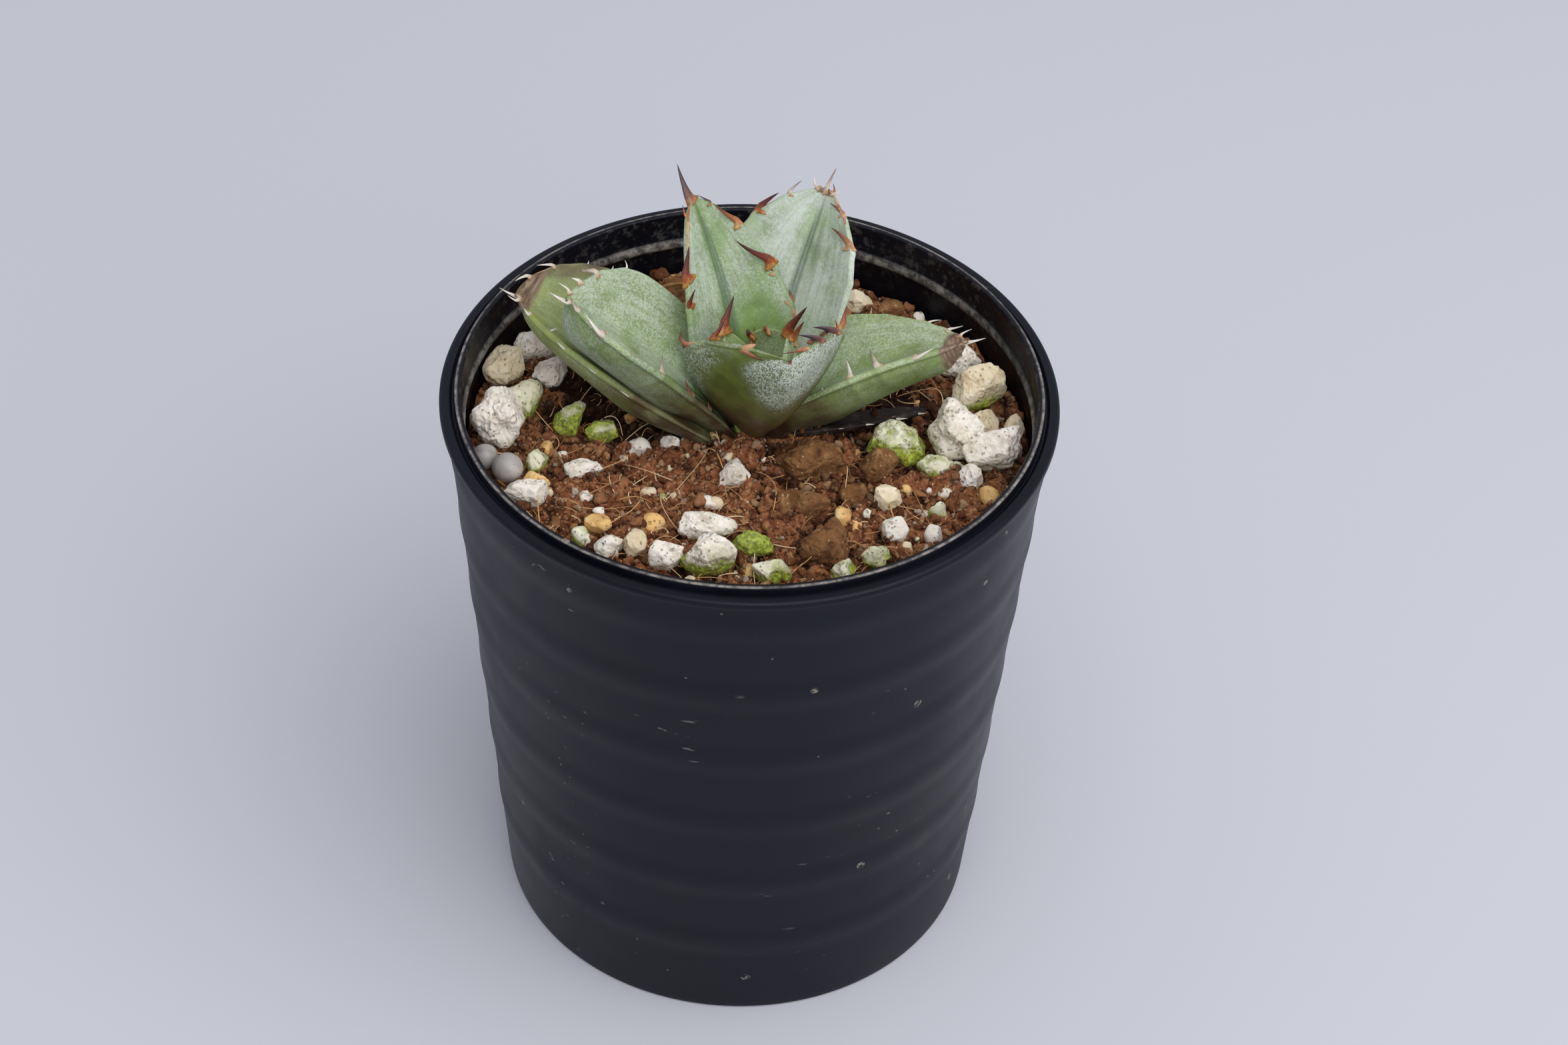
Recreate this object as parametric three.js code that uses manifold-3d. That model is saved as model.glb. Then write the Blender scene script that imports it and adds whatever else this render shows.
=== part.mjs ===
// A young agave in a round 90 mm nursery pot.
// Millimetres, +Z up. The origin is on the pot's axis, in the plane that its foot ring stands on.
// The viewer's side of the plant is -Y: the front leaf points that way.
import * as THREE from 'three';
import Module from 'manifold-3d';
import { mergeVertices } from 'three/addons/utils/BufferGeometryUtils.js';

const wasm = await Module();
wasm.setup();

const part = new THREE.Group();
const rad = THREE.MathUtils.degToRad;
const GAP = 0.3;                 // clearance that touching pieces keep
const ROOM = 0.7;                // what a curved piece is grown by, to cut its neighbour clear

// ---------------------------------------------------------------- driving dimensions

const POT = {
  height: 95.2,
  flangeRadius: 45,              // a 90 mm pot is measured over this flange
  flangeTop: 94.2,
  flangeFace: 1.0,               // height of the flange's outer face
  lipRadius: 42.8,               // thin raised ring inside the flange
  footRadius: 36.7,
  bodyTopRadius: 44.1,           // outside radius just under the flange
  edge: 0.3,                     // how much the flange's edges are rounded
  mouthRadius: 41.8,             // inside radius at the lip
  mouthFrom: 80,                 // the inside stops widening at this height
  floorInnerRadius: 34.9,
  footWall: 1.8,
  floorUnder: 2.4,               // the floor is raised by this much on its foot ring
  floorTop: 4.0,
  ribs: 6,
  firstRib: 16.6,                // height of the lowest rib's crest
  ribPitch: 14.25,
  ribHalfHeight: 2.4,
  ribStand: 0.45,                // how far a rib stands out
  notches: 4,
  notchTurn: -74,                // degrees, the first foot notch
  notchWidth: 15,
  notchHeight: 1.7,
  notchDepth: 8,
  notchInset: 1,                 // the notch's middle, inwards of the foot's outside
  drainHoles: 6,
  drainCircle: 21,
  drainRadius: 3.5,
  drainCut: 10,                  // long enough to pass through the floor
  segments: 40,
};

const MIX_TOP = 84;              // the mix ends about 11 mm below the lip
const MIX_GAP = 0.4;             // between the mix and the pot's wall
const STEM = { radius: 4.6, top: 87.5, crown: 0.8, shoulder: 84, waist: 74, bottom: 62, footShare: 0.55,
  crownShare: 0.6 };
// Every second root starts lower and dives deeper.
const ROOTS = { count: 6, length: 22, startRadius: 1.5, endRadius: 0.5, dive: -38, deeper: 14, height: 74,
  lower: 5, firstTurn: 30, inset: 1.5 };

// Each leaf leaves the stem at the angle turn (0 is +X, 90 is away from the viewer) and swings by
// swing degrees towards its tip. rise is its slope above level at base and tip, roll turns it about
// its own length, fold is how steeply its two halves stand up from the middle. neck is how thin it
// starts, as a share, and where along it that ends.
// Teeth are [side, place along the leaf, length, lean towards the tip, lift]: side 1 is the right
// edge seen from the stem, -1 the left, and 0 is the end spine.
const LEAVES = {
  leaf_front: {
    turn: -71, swing: 2, rise: [62, 61], length: 28, halfWidth: 11.5, roll: [-5, -7], fold: [31, 40],
    cup: [0.22, 0], baseWidth: 0.45, widest: 0.55, point: [2, 0.8], thick: [4, 1.5], height: 88.3,
    neck: [0.2, 0.5],
    teeth: [[1, 0.56, 1.9, 68, 30], [1, 0.78, 4.2, 170, 42], [1, 0.9, 3.7, 165, -35],
            [-1, 0.96, 3.5, 165, -10], [-1, 0.9, 4, 160, 5], [-1, 0.8, 4.3, 160, 5],
            [-1, 0.72, 3.8, 84, 60], [0, 1, 1.2, 0, 0]],
  },
  leaf_back_left: {
    turn: 106, swing: 24, rise: [67, 47], length: 33.5, halfWidth: 9, roll: [11, 5], fold: [28, 21],
    cup: [0.05, 0], baseWidth: 0.7, widest: 0.3, point: [1.9, 0.8], thick: [5, 1.5], height: 87,
    teeth: [[-1, 0.92, 2.1, 108, 0], [-1, 0.66, 5.5, 118, 15], [-1, 0.55, 3.3, 125, 25],
            [1, 0.93, 2.7, 140, 0], [1, 0.8, 6.2, 140, 5], [1, 0.61, 8.4, 148, 8],
            [1, 0.44, 2.4, 100, 0], [0, 1, 5.6, 0, 0]],
  },
  leaf_back_right: {
    turn: 72, swing: -13, rise: [53, 49], length: 35, halfWidth: 10.8, roll: [-10, -10], fold: [15, 18],
    cup: [0.05, 0], baseWidth: 0.6, widest: 0.6, point: [2.1, 0.8], thick: [5, 1.5], height: 87,
    teeth: [[-1, 0.8, 4.7, 135, 0], [-1, 0.91, 3.2, 130, 0], [-1, 0.62, 2, 90, 0],
            [1, 0.91, 3.7, 165, 0], [1, 0.79, 5, 160, 5], [1, 0.66, 2.6, 135, 0],
            [1, 0.5, 2.5, 130, 0], [0, 1, 3.8, 0, 0]],
  },
  leaf_left_front: {
    turn: 172, swing: 20, rise: [52, 34], length: 32.5, halfWidth: 8.5, roll: [0, -14], fold: [25, 27],
    cup: [0.05, 0], baseWidth: 0.6, widest: 0.65, point: [2, 0.9], thick: [7, 3.2], height: 88.5,
    teeth: [[1, 0.94, 1.9, 105, 0], [1, 0.87, 4, 128, 0], [1, 0.77, 2, 0, 5], [-1, 0.95, 2.5, 140, 10],
            [-1, 0.84, 4.8, 125, 10], [-1, 0.69, 1.3, 125, 10], [-1, 0.52, 3.6, 168, 10],
            [-1, 0.31, 3.2, 138, 8], [-1, 0.19, 2, 155, 8], [0, 1, 3, 5, 0]],
  },
  leaf_right: {
    turn: 23, swing: -33, rise: [24, 21], length: 31.5, halfWidth: 9, roll: [-8, -9], fold: [33, 23],
    cup: [0.05, 0], baseWidth: 0.6, widest: 0.4, point: [1.6, 0.9], thick: [6.5, 3], height: 89.5,
    teeth: [[1, 0.76, 4, 112, 12], [1, 0.6, 4, 190, 22], [1, 0.45, 3.8, 178, 18],
            [1, 0.28, 1.2, 165, 8], [1, 0.12, 1.1, 100, 5], [-1, 0.63, 1.9, 118, 0],
            [-1, 0.79, 2.5, 105, 0], [-1, 0.88, 2.7, 98, 0], [0, 1, 3, -20, 0]],
  },
  leaf_left_back: {
    turn: 158, swing: 8, rise: [24, 27], length: 37.5, halfWidth: 11.2, roll: [6, 5], fold: [19, 31],
    cup: [0.05, 0], baseWidth: 0.6, widest: 0.6, point: [2.2, 0.6], thick: [7, 2], height: 85.2,
    teeth: [[-1, 0.91, 1.6, 120, 10], [-1, 0.83, 2, -150, 12], [-1, 0.72, 2, 105, 8],
            [-1, 0.56, 2.1, 95, 5], [-1, 0.4, 2.3, 88, 5], [-1, 0.28, 0.8, 90, 5],
            [1, 0.975, 3.4, 155, -5], [1, 0.91, 3.4, 138, -5], [1, 0.83, 1.8, -20, 8],
            [1, 0.74, 1.8, -20, 8], [0, 1, 3, -15, 0]],
  },
};

const BUD_LEAVES = {
  bud_leaf_front: {
    turn: 28, swing: 0, rise: [86, 72], length: 15.4, halfWidth: 5.6, roll: [0, 0], fold: [25, 35],
    cup: [0.1, 0], baseWidth: 0.6, widest: 0.6, point: [2.2, 0.8], thick: [2.4, 1], height: 88,
    root: 2.8,
    teeth: [[-1, 0.9, 3.6, 165, 10], [-1, 0.76, 4.4, 160, 12], [1, 0.72, 2.4, 60, 0],
            [0, 1, 6.9, 22, 0]],
  },
  bud_leaf_left: {
    turn: 150, swing: 0, rise: [82, 70], length: 17, halfWidth: 4.2, roll: [0, 0], fold: [25, 35],
    cup: [0.1, 0], baseWidth: 0.8, widest: 0.35, point: [1.6, 0.9], thick: [2.4, 1], height: 87,
    root: 0.6,
    teeth: [[-1, 0.8, 2.7, 60, 0], [1, 0.7, 3.5, 60, 0], [0, 1, 5.6, 65, 0]],
  },
  bud_leaf_right: {
    turn: 42, swing: 0, rise: [76, 66], length: 13.2, halfWidth: 4.2, roll: [0, 0], fold: [25, 35],
    cup: [0.1, 0], baseWidth: 0.8, widest: 0.35, point: [1.6, 0.9], thick: [2.4, 1], height: 87,
    root: 3.6,
    teeth: [[1, 0.7, 2.4, 60, 0], [-1, 0.7, 2.4, 60, 0], [0, 1, 3.9, 10, 0]],
  },
};

// The dead leaf under the right one lies almost flat and has shrunk to a thin dark strap.
const DEAD_LEAF = {
  turn: 8, swing: 14, rise: [4, -2], length: 21, halfWidth: 2.6, roll: [-25, -20], fold: [10, 20],
  cup: [0, 0], baseWidth: 0.8, widest: 0.4, point: [2, 0.8], thick: [1.2, 0.6], height: 86.6,
  root: 6,
  teeth: [[1, 0.5, 1.6, 80, 0], [1, 0.72, 2, 85, 0], [1, 0.9, 1.4, 80, 0]],
};

// A dry scrap curls on the mix behind the two left leaves.
const DRY_SCRAP = {
  turn: 60, swing: -150, rise: [12, 6], length: 15, halfWidth: 2.2, roll: [60, 40], fold: [25, 25],
  cup: [0, 0], baseWidth: 0.7, widest: 0.4, point: [2, 0.8], thick: [0.8, 0.5], height: 86.8,
  start: [-17, 27],
  teeth: [],
};

// Loose stones, by kind: [x, y, long, short, turn in degrees]. Each rests on the mix.
// The big ones come first, because a later stone is cut clear of an earlier one.
const STONES = {
  pumice: [
    [-36.6, -1.2, 8.6, 7.8, 70], [30.1, -0.4, 8.6, 8.4, 60], [35.2, -3.2, 9.4, 6.8, 10], [-32, 16.6, 8.4, 5.8, 15],
    [-30, 10.6, 5.8, 5.4, 80], [30.8, 17.4, 7.6, 5, 15], [-4.7, -28.2, 8.2, 5.2, 5], [-5.4, -21, 8.4, 4.2, 0],
    [-10.7, -28, 5.6, 4.6, 20], [-31.6, -15.6, 6.8, 4, 12], [-1.7, -10, 4.9, 4.4, 0], [-11, -2.6, 4.6, 4.4, 30],
    [-23.8, -9.8, 5.8, 3.2, 10], [21.4, -20, 4.2, 3.8, 40], [32.2, -8.2, 4.4, 3.8, 20], [-18.9, -26, 4.6, 4, 40],
  ],
  mossy: [
    [21.6, -1.8, 10.6, 5.4, -32], [-33.6, 3.4, 6.6, 6, 40], [-26.3, 1, 5.6, 5, 75], [1.4, -24.2, 6.4, 3.4, 0],
    [27.4, -6.2, 5.6, 4, 0], [-30.4, -8.2, 4.2, 3.4, 60], [4.2, -29.6, 5.6, 3.2, 0], [18.8, -26, 5, 3.6, 20],
    [14.2, -28.6, 4.2, 3, 40], [-21.4, -0.8, 4.8, 3.8, 10],
  ],
  cream: [
    [-36.8, 11.2, 6.8, 5.8, 30], [33.9, 10.2, 8.8, 6.8, 10], [20.4, -13.4, 4.5, 3.8, 0], [39, 3.4, 5.6, 3, 85],
    [-15.4, -25, 4.4, 3.8, 70], [15.6, 31.4, 4.8, 3.4, 10], [34.4, 4.2, 5.4, 4.2, 40],
  ],
  clod: [
    [9.2, -6.2, 11.2, 7.4, 0], [8.4, -15.4, 8.2, 5.6, 10], [11.6, -24.4, 7.6, 6.6, 60], [15.2, -12, 4.6, 4, 30],
    [-13, 33.6, 5, 4.4, 0], [20.5, 31, 4.6, 3.4, 20], [4.5, 36, 5, 4, 60], [-24, 29, 4.6, 3.8, 120],
    [19.2, -6.6, 6.2, 6, 20],
  ],
  tan: [
    [-30.2, -12.2, 4.2, 3.2, 0], [-20.8, -20.4, 4.4, 3.2, 30],
  ],
  bead: [
    [-34.5, -10.4, 4.6, 4.6, 0], [-38, -7.8, 3.9, 3.9, 0],
  ],
};

const FINISH = {
  pot: [0x26272a, 0.5],
  mix: [0x5a3826, 0.95],
  root: [0xa08a62, 0.85],
  leaf: [0x8ba284, 0.6],
  bud: [0x8fa65f, 0.55],
  dead: [0x2e241d, 0.8],
  dry: [0x8a5a36, 0.85],
  pumice: [0xcfc9bb, 0.95],
  mossy: [0xaeb183, 0.95],
  cream: [0xd6cbb0, 0.95],
  clod: [0x7a5034, 0.95],
  tan: [0xc49a5e, 0.9],
  bead: [0xb9b6a8, 0.7],
};

// ---------------------------------------------------------------- solids

// A geometry as a solid: only positions, shared vertices merged, faces outwards.
function solid(geometry) {
  const g = geometry.clone();
  g.deleteAttribute('normal');
  g.deleteAttribute('uv');
  const m = mergeVertices(g, 1e-4);
  const vertProperties = new Float32Array(m.attributes.position.array);
  const triVerts = withoutSlivers(m.index.array);
  if (signedVolume(vertProperties, triVerts) < 0) {
    for (let i = 0; i < triVerts.length; i += 3) {
      [triVerts[i], triVerts[i + 1]] = [triVerts[i + 1], triVerts[i]];
    }
  }
  return new wasm.Manifold(new wasm.Mesh({ numProp: 3, vertProperties, triVerts }));
}

// Triangles that a merge has folded to a line are dropped.
function withoutSlivers(index) {
  const kept = [];
  for (let i = 0; i < index.length; i += 3) {
    const [a, b, c] = [index[i], index[i + 1], index[i + 2]];
    if (a !== b && b !== c && c !== a) kept.push(a, b, c);
  }
  return new Uint32Array(kept);
}

function signedVolume(p, tri) {
  let sum = 0;
  const at = (i) => new THREE.Vector3(p[3 * i], p[3 * i + 1], p[3 * i + 2]);
  for (let i = 0; i < tri.length; i += 3) {
    sum += at(tri[i]).dot(at(tri[i + 1]).cross(at(tri[i + 2])));
  }
  return sum / 6;
}

// The largest closed piece of a solid: a cut can leave crumbs behind.
function largest(body) {
  const pieces = body.decompose();
  return pieces.reduce((a, b) => (b.volume() > a.volume() ? b : a));
}

function geometryOf(body) {
  const mesh = body.getMesh();
  const g = new THREE.BufferGeometry();
  g.setAttribute('position', new THREE.BufferAttribute(new Float32Array(mesh.vertProperties), 3));
  g.setIndex(new THREE.BufferAttribute(new Uint32Array(mesh.triVerts), 1));
  g.computeVertexNormals();
  return g;
}

function add(name, body, finish) {
  const [color, roughness] = FINISH[finish];
  const material = new THREE.MeshStandardMaterial({ color, roughness, metalness: 0 });
  const mesh = new THREE.Mesh(geometryOf(body), material);
  mesh.name = name;
  part.add(mesh);
}

function turned(profile, segments) {
  const points = profile.map(([r, z]) => new THREE.Vector2(r, z));
  return solid(new THREE.LatheGeometry(points, segments).rotateX(Math.PI / 2));
}

// A skin of rings, closed by a fan at its start and either a fan or a point at its end.
function skin(rings, end) {
  const n = rings[0].length;
  const vertices = rings.flat();
  const tri = [];
  for (let k = 0; k + 1 < rings.length; k += 1) {
    for (let i = 0; i < n; i += 1) {
      const a = k * n + i;
      const b = k * n + ((i + 1) % n);
      tri.push(a, b, a + n, b, b + n, a + n);
    }
  }
  const centre = new THREE.Vector3();
  rings[0].forEach((v) => centre.addScaledVector(v, 1 / n));
  vertices.push(centre, end);
  const last = (rings.length - 1) * n;
  for (let i = 0; i < n; i += 1) {
    const j = (i + 1) % n;
    tri.push(j, i, rings.length * n);
    tri.push(last + i, last + j, rings.length * n + 1);
  }
  const g = new THREE.BufferGeometry();
  g.setAttribute('position', new THREE.BufferAttribute(new Float32Array(vertices.flatMap((v) => v.toArray())), 3));
  g.setIndex(tri);
  return solid(g);
}

// ---------------------------------------------------------------- pot

const potRadius = (z) => THREE.MathUtils.mapLinear(z, 0, POT.flangeTop - POT.flangeFace,
  POT.footRadius, POT.bodyTopRadius);
const mouthRadius = (z) => THREE.MathUtils.mapLinear(z, POT.floorTop, POT.mouthFrom,
  POT.floorInnerRadius, POT.mouthRadius);
const insideRadius = (z) => Math.min(mouthRadius(z), POT.mouthRadius);

function pot() {
  const profile = [[0, POT.floorUnder], [POT.footRadius - POT.footWall, POT.floorUnder],
    [POT.footRadius - POT.footWall, 0], [POT.footRadius, 0]];
  for (let k = 0; k < POT.ribs; k += 1) {
    const crest = POT.firstRib + k * POT.ribPitch;
    for (const [dz, stand] of [[-POT.ribHalfHeight, 0], [0, POT.ribStand], [POT.ribHalfHeight, 0]]) {
      profile.push([potRadius(crest + dz) + stand, crest + dz]);
    }
  }
  const under = POT.flangeTop - POT.flangeFace;
  profile.push([potRadius(under), under], [POT.flangeRadius, under + POT.edge],
    [POT.flangeRadius, POT.flangeTop - POT.edge], [POT.flangeRadius - POT.edge, POT.flangeTop],
    [POT.lipRadius, POT.flangeTop], [POT.lipRadius, POT.height], [POT.mouthRadius, POT.height],
    [insideRadius(POT.mouthFrom), POT.mouthFrom], [insideRadius(POT.floorTop), POT.floorTop], [0, POT.floorTop]);
  let body = turned(profile, POT.segments);
  const drain = new THREE.CylinderGeometry(POT.drainRadius, POT.drainRadius, POT.drainCut, 12).rotateX(Math.PI / 2);
  body = body.subtract(solid(drain));
  for (let k = 0; k < POT.drainHoles; k += 1) {
    const turn = rad(k * 360 / POT.drainHoles);
    const at = [POT.drainCircle * Math.cos(turn), POT.drainCircle * Math.sin(turn), 0];
    body = body.subtract(solid(drain.clone().translate(...at)));
  }
  for (let k = 0; k < POT.notches; k += 1) {
    const cut = new THREE.BoxGeometry(POT.notchDepth, POT.notchWidth, 2 * POT.notchHeight);
    cut.translate(POT.footRadius - POT.notchInset, 0, 0).rotateZ(rad(POT.notchTurn + k * 360 / POT.notches));
    body = body.subtract(solid(cut));
  }
  return body;
}

// ---------------------------------------------------------------- leaves

// The leaf's own frame at the place s (0 base, 1 tip): point, and unit vectors along, up and across.
function frameAt(leaf, s) {
  const steps = 40;
  const along = (t) => {
    const turn = rad(leaf.turn + leaf.swing * t);
    const rise = rad(THREE.MathUtils.lerp(leaf.rise[0], leaf.rise[1], t));
    return new THREE.Vector3(Math.cos(rise) * Math.cos(turn), Math.cos(rise) * Math.sin(turn), Math.sin(rise));
  };
  const point = leafStart(leaf);
  for (let k = 0; k < steps; k += 1) {
    point.addScaledVector(along(s * (k + 0.5) / steps), leaf.length * s / steps);
  }
  const t = along(s);
  const turn = rad(leaf.turn + leaf.swing * s);
  const rise = rad(THREE.MathUtils.lerp(leaf.rise[0], leaf.rise[1], s));
  const up0 = new THREE.Vector3(-Math.sin(rise) * Math.cos(turn), -Math.sin(rise) * Math.sin(turn), Math.cos(rise));
  const side0 = t.clone().cross(up0);
  const roll = rad(THREE.MathUtils.lerp(leaf.roll[0], leaf.roll[1], s));
  const up = up0.multiplyScalar(Math.cos(roll)).addScaledVector(side0, Math.sin(roll));
  const across = t.clone().cross(up);
  return { point, along: t, up, across };
}

function leafStart(leaf) {
  if (leaf.start) return new THREE.Vector3(leaf.start[0], leaf.start[1], leaf.height);
  const root = leaf.root ?? 3;
  return new THREE.Vector3(root * Math.cos(rad(leaf.turn)), root * Math.sin(rad(leaf.turn)), leaf.height);
}

function halfWidthAt(leaf, s) {
  if (s < leaf.widest) {
    const grow = Math.sin(Math.PI / 2 * s / leaf.widest);
    return leaf.halfWidth * (leaf.baseWidth + (1 - leaf.baseWidth) * grow);
  }
  const t = (s - leaf.widest) / (1 - leaf.widest);
  return leaf.halfWidth * Math.max(1 - t ** leaf.point[0], 0) ** leaf.point[1];
}

const EDGE = 0.6;                // thickness of a leaf at its very edge
const CREASE = 0.15;             // how softly the two halves meet in the middle
const FULLNESS = 0.55;           // how round a leaf's underside is: 1 is a plain arch, less is fuller

// Height of the upper face over the midline, at u from -1 (left edge) to 1 (right edge).
function faceHeight(leaf, s, u) {
  const fold = Math.tan(rad(THREE.MathUtils.lerp(leaf.fold[0], leaf.fold[1], s)));
  const cup = THREE.MathUtils.lerp(leaf.cup[0], leaf.cup[1], s);
  return halfWidthAt(leaf, s) * (fold * (Math.hypot(u, CREASE) - CREASE) + cup * u * u);
}

function leafPoint(leaf, s, u, under, grow = 0) {
  const f = frameAt(leaf, s);
  let h = faceHeight(leaf, s, u) + grow;
  if (under) {
    const [thin, reach] = leaf.neck ?? [1, 1];
    const share = thin + (1 - thin) * THREE.MathUtils.smoothstep(s, 0, reach);
    const thick = THREE.MathUtils.lerp(leaf.thick[0], leaf.thick[1], s);
    h -= 2 * grow + share * (EDGE + thick * Math.max(1 - u * u, 0) ** FULLNESS);
  }
  const wide = (halfWidthAt(leaf, s) + grow) * u;
  return f.point.addScaledVector(f.across, wide).addScaledVector(f.up, h);
}

function blade(leaf, grow = 0) {
  const stations = [0, 0.12, 0.25, 0.38, 0.5, 0.62, 0.73, 0.83, 0.91, 0.97];
  const over = [-1, -0.65, -0.25, 0.25, 0.65, 1];
  const below = [1, 0.75, 0, -0.75, -1];
  const rings = stations.map((s) => [
    ...over.map((u) => leafPoint(leaf, s, u, false, grow)),
    ...below.map((u) => leafPoint(leaf, s, u, true, grow)),
  ]);
  const back = frameAt(leaf, 0).along.multiplyScalar(-2 * grow);
  rings[0].forEach((v) => v.add(back));
  const tip = leafPoint(leaf, 1, 0, false, 0).addScaledVector(frameAt(leaf, 1).along, 2 * grow);
  return skin(rings, tip);
}

const TOOTH = {
  halfBase: 0.95,
  halfThick: 0.42,
  sunk: 0.8,                       // how deep its root sits in the edge
  footShare: 1.15,                 // width at its root and at its knee, as shares
  kneeShare: 0.72,
  square: 0.2,                     // share of it that stands square to the edge before it leans
  kneeAt: 0.25,
  slimFrom: 0.45,                  // a tooth of no length has this share of the full width
  fullAt: 6,                       // and each this many millimetres of length add one share more
  lastPlace: 0.985,                // no tooth grows nearer to the tip than this
};

// A tooth is a flat bent cone that grows out of the leaf's edge: it leaves square to the edge, and
// past its knee it leans. The knee's section is turned half as far as the lean.
function tooth(leaf, [side, s, length, lean, lift], grow = 0) {
  const place = Math.min(s, TOOTH.lastPlace);
  const f = frameAt(leaf, place);
  const out = side === 0 ? f.along.clone() : f.across.clone().multiplyScalar(side);
  const towards = side === 0 ? f.across : f.along;
  const direction = out.clone().multiplyScalar(Math.cos(rad(lean))).addScaledVector(towards, Math.sin(rad(lean)));
  direction.multiplyScalar(Math.cos(rad(lift))).addScaledVector(f.up, Math.sin(rad(lift)));
  direction.multiplyScalar(1 - TOOTH.square).addScaledVector(out, TOOTH.square).normalize();
  const foot = leafPoint(leaf, place, side, false).addScaledVector(f.up, -EDGE / 2);
  const slim = Math.min(1, TOOTH.slimFrom + length / TOOTH.fullAt);
  const ring = (centre, scale, turn) => [0, 1, 2, 3].map((k) => {
    const a = Math.PI / 2 * k;
    const broad = (TOOTH.halfBase * slim * scale + 2 * grow) * Math.cos(a);
    const thick = (TOOTH.halfThick * slim * scale + 2 * grow) * Math.sin(a);
    return centre.clone().addScaledVector(towards, broad * Math.cos(turn))
      .addScaledVector(out, -broad * Math.sin(turn)).addScaledVector(f.up, thick);
  });
  const start = foot.clone().addScaledVector(out, -TOOTH.sunk - 2 * grow);
  const knee = foot.clone().addScaledVector(out, TOOTH.square * length)
    .addScaledVector(direction, TOOTH.kneeAt * length);
  const end = foot.clone().addScaledVector(direction, length + 4 * grow);
  return skin([ring(start, TOOTH.footShare, 0), ring(knee, TOOTH.kneeShare, rad(lean) / 2)], end);
}

// With grow above 0 it is the room that the leaf needs: the same shape, thicker all round.
function leafWithTeeth(leaf, grow = 0) {
  return leaf.teeth.reduce((body, t) => body.add(tooth(leaf, t, grow)), blade(leaf, grow));
}

// ---------------------------------------------------------------- stem and roots

function taperedRod(from, to, r0, r1, sides) {
  const along = to.clone().sub(from).normalize();
  const x = new THREE.Vector3(0, 0, 1).cross(along).normalize();
  const y = along.clone().cross(x);
  const ring = (c, r) => Array.from({ length: sides }, (_, k) => {
    const a = 2 * Math.PI * k / sides;
    return c.clone().addScaledVector(x, r * Math.cos(a)).addScaledVector(y, r * Math.sin(a));
  });
  return skin([ring(from, r0), ring(to, r1)], to.clone().addScaledVector(along, 2 * r1));
}

// With grow above 0 it is the same shape, thicker all round: the room that it needs in the mix.
function stemAndRoots(grow = 0) {
  const { radius, top, crown, shoulder, waist, bottom, footShare, crownShare } = STEM;
  let body = turned([[0, bottom - grow], [radius * footShare + grow, bottom - grow], [radius + grow, waist],
    [radius + grow, shoulder + grow], [radius * crownShare + grow, top - crown + grow], [0, top + grow]], 12);
  for (let k = 0; k < ROOTS.count; k += 1) {
    const turn = rad(ROOTS.firstTurn + k * 360 / ROOTS.count);
    const dive = rad(ROOTS.dive - ROOTS.deeper * (k % 2));
    const way = new THREE.Vector3(Math.cos(turn) * Math.cos(dive), Math.sin(turn) * Math.cos(dive), Math.sin(dive));
    const from = new THREE.Vector3(0, 0, ROOTS.height - ROOTS.lower * (k % 2)).addScaledVector(way, ROOTS.inset);
    const to = from.clone().addScaledVector(way, ROOTS.length);
    body = body.add(taperedRod(from, to, ROOTS.startRadius + grow, ROOTS.endRadius + grow, 6));
  }
  return body;
}

// ---------------------------------------------------------------- stones

// A whole number hashed to 0..1, so that each stone gets its own bumps, the same every time.
function chance(n) {
  const v = Math.sin(n * 127.1 + 311.7) * 43758.5453;
  return v - Math.floor(v);
}

const STONE_BUMP = 0.17;         // how much a stone's radius varies
const STONE_GAP = 0.35;          // between two stones that touch
// A stone's height as a share of its width: clods and baked clay lie flatter than pumice does.
const STONE_HEIGHT = { pumice: 1.08, mossy: 1.08, cream: 1.08, clod: 0.85, tan: 0.9, bead: 1 };
const BIG_STONE = 6;             // from this length on, a stone has more facets

function stone(kind, index, [x, y, long, short, turn]) {
  const big = long > BIG_STONE;
  const ball = kind === 'bead' ? new THREE.SphereGeometry(1, 10, 6).rotateX(Math.PI / 2)
    : big ? new THREE.IcosahedronGeometry(1, 1) : new THREE.OctahedronGeometry(1, 1);
  const g = new THREE.BufferGeometry().copy(ball);
  g.deleteAttribute('normal');
  g.deleteAttribute('uv');
  const merged = mergeVertices(g, 1e-4);
  const p = merged.attributes.position;
  const bump = kind === 'bead' ? 0 : STONE_BUMP;
  for (let i = 0; i < p.count; i += 1) {
    const v = new THREE.Vector3().fromBufferAttribute(p, i);
    v.multiplyScalar(1 + bump * (0.5 - chance(index * 97 + i)));
    p.setXYZ(i, v.x, v.y, v.z);
  }
  merged.scale(long / 2, short / 2, STONE_HEIGHT[kind] * short / 2).rotateZ(rad(turn));
  merged.computeBoundingBox();
  merged.translate(x, y, MIX_TOP + GAP - merged.boundingBox.min.z);
  return solid(merged);
}

function grown(body) {
  const { min, max } = body.boundingBox();
  const mid = [0, 1, 2].map((k) => (min[k] + max[k]) / 2);
  const scale = [0, 1, 2].map((k) => 1 + 2 * STONE_GAP / (max[k] - min[k]));
  return body.translate(mid.map((v) => -v)).scale(scale).translate(mid);
}

// A loose piece lies on the mix.
const seated = (body) => body.translate([0, 0, MIX_TOP + GAP - body.boundingBox().min[2]]);

const near = (a, b) => [0, 1, 2].every((k) => a.min[k] < b.max[k] + 1 && b.min[k] < a.max[k] + 1);

// ---------------------------------------------------------------- assembly

add('pot', pot(), 'pot');

add('stem_and_roots', stemAndRoots(), 'root');

// From the bud outwards, each leaf is cut clear of the stem and of the leaves inside it.
const cutters = [stemAndRoots(ROOM)];

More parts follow.
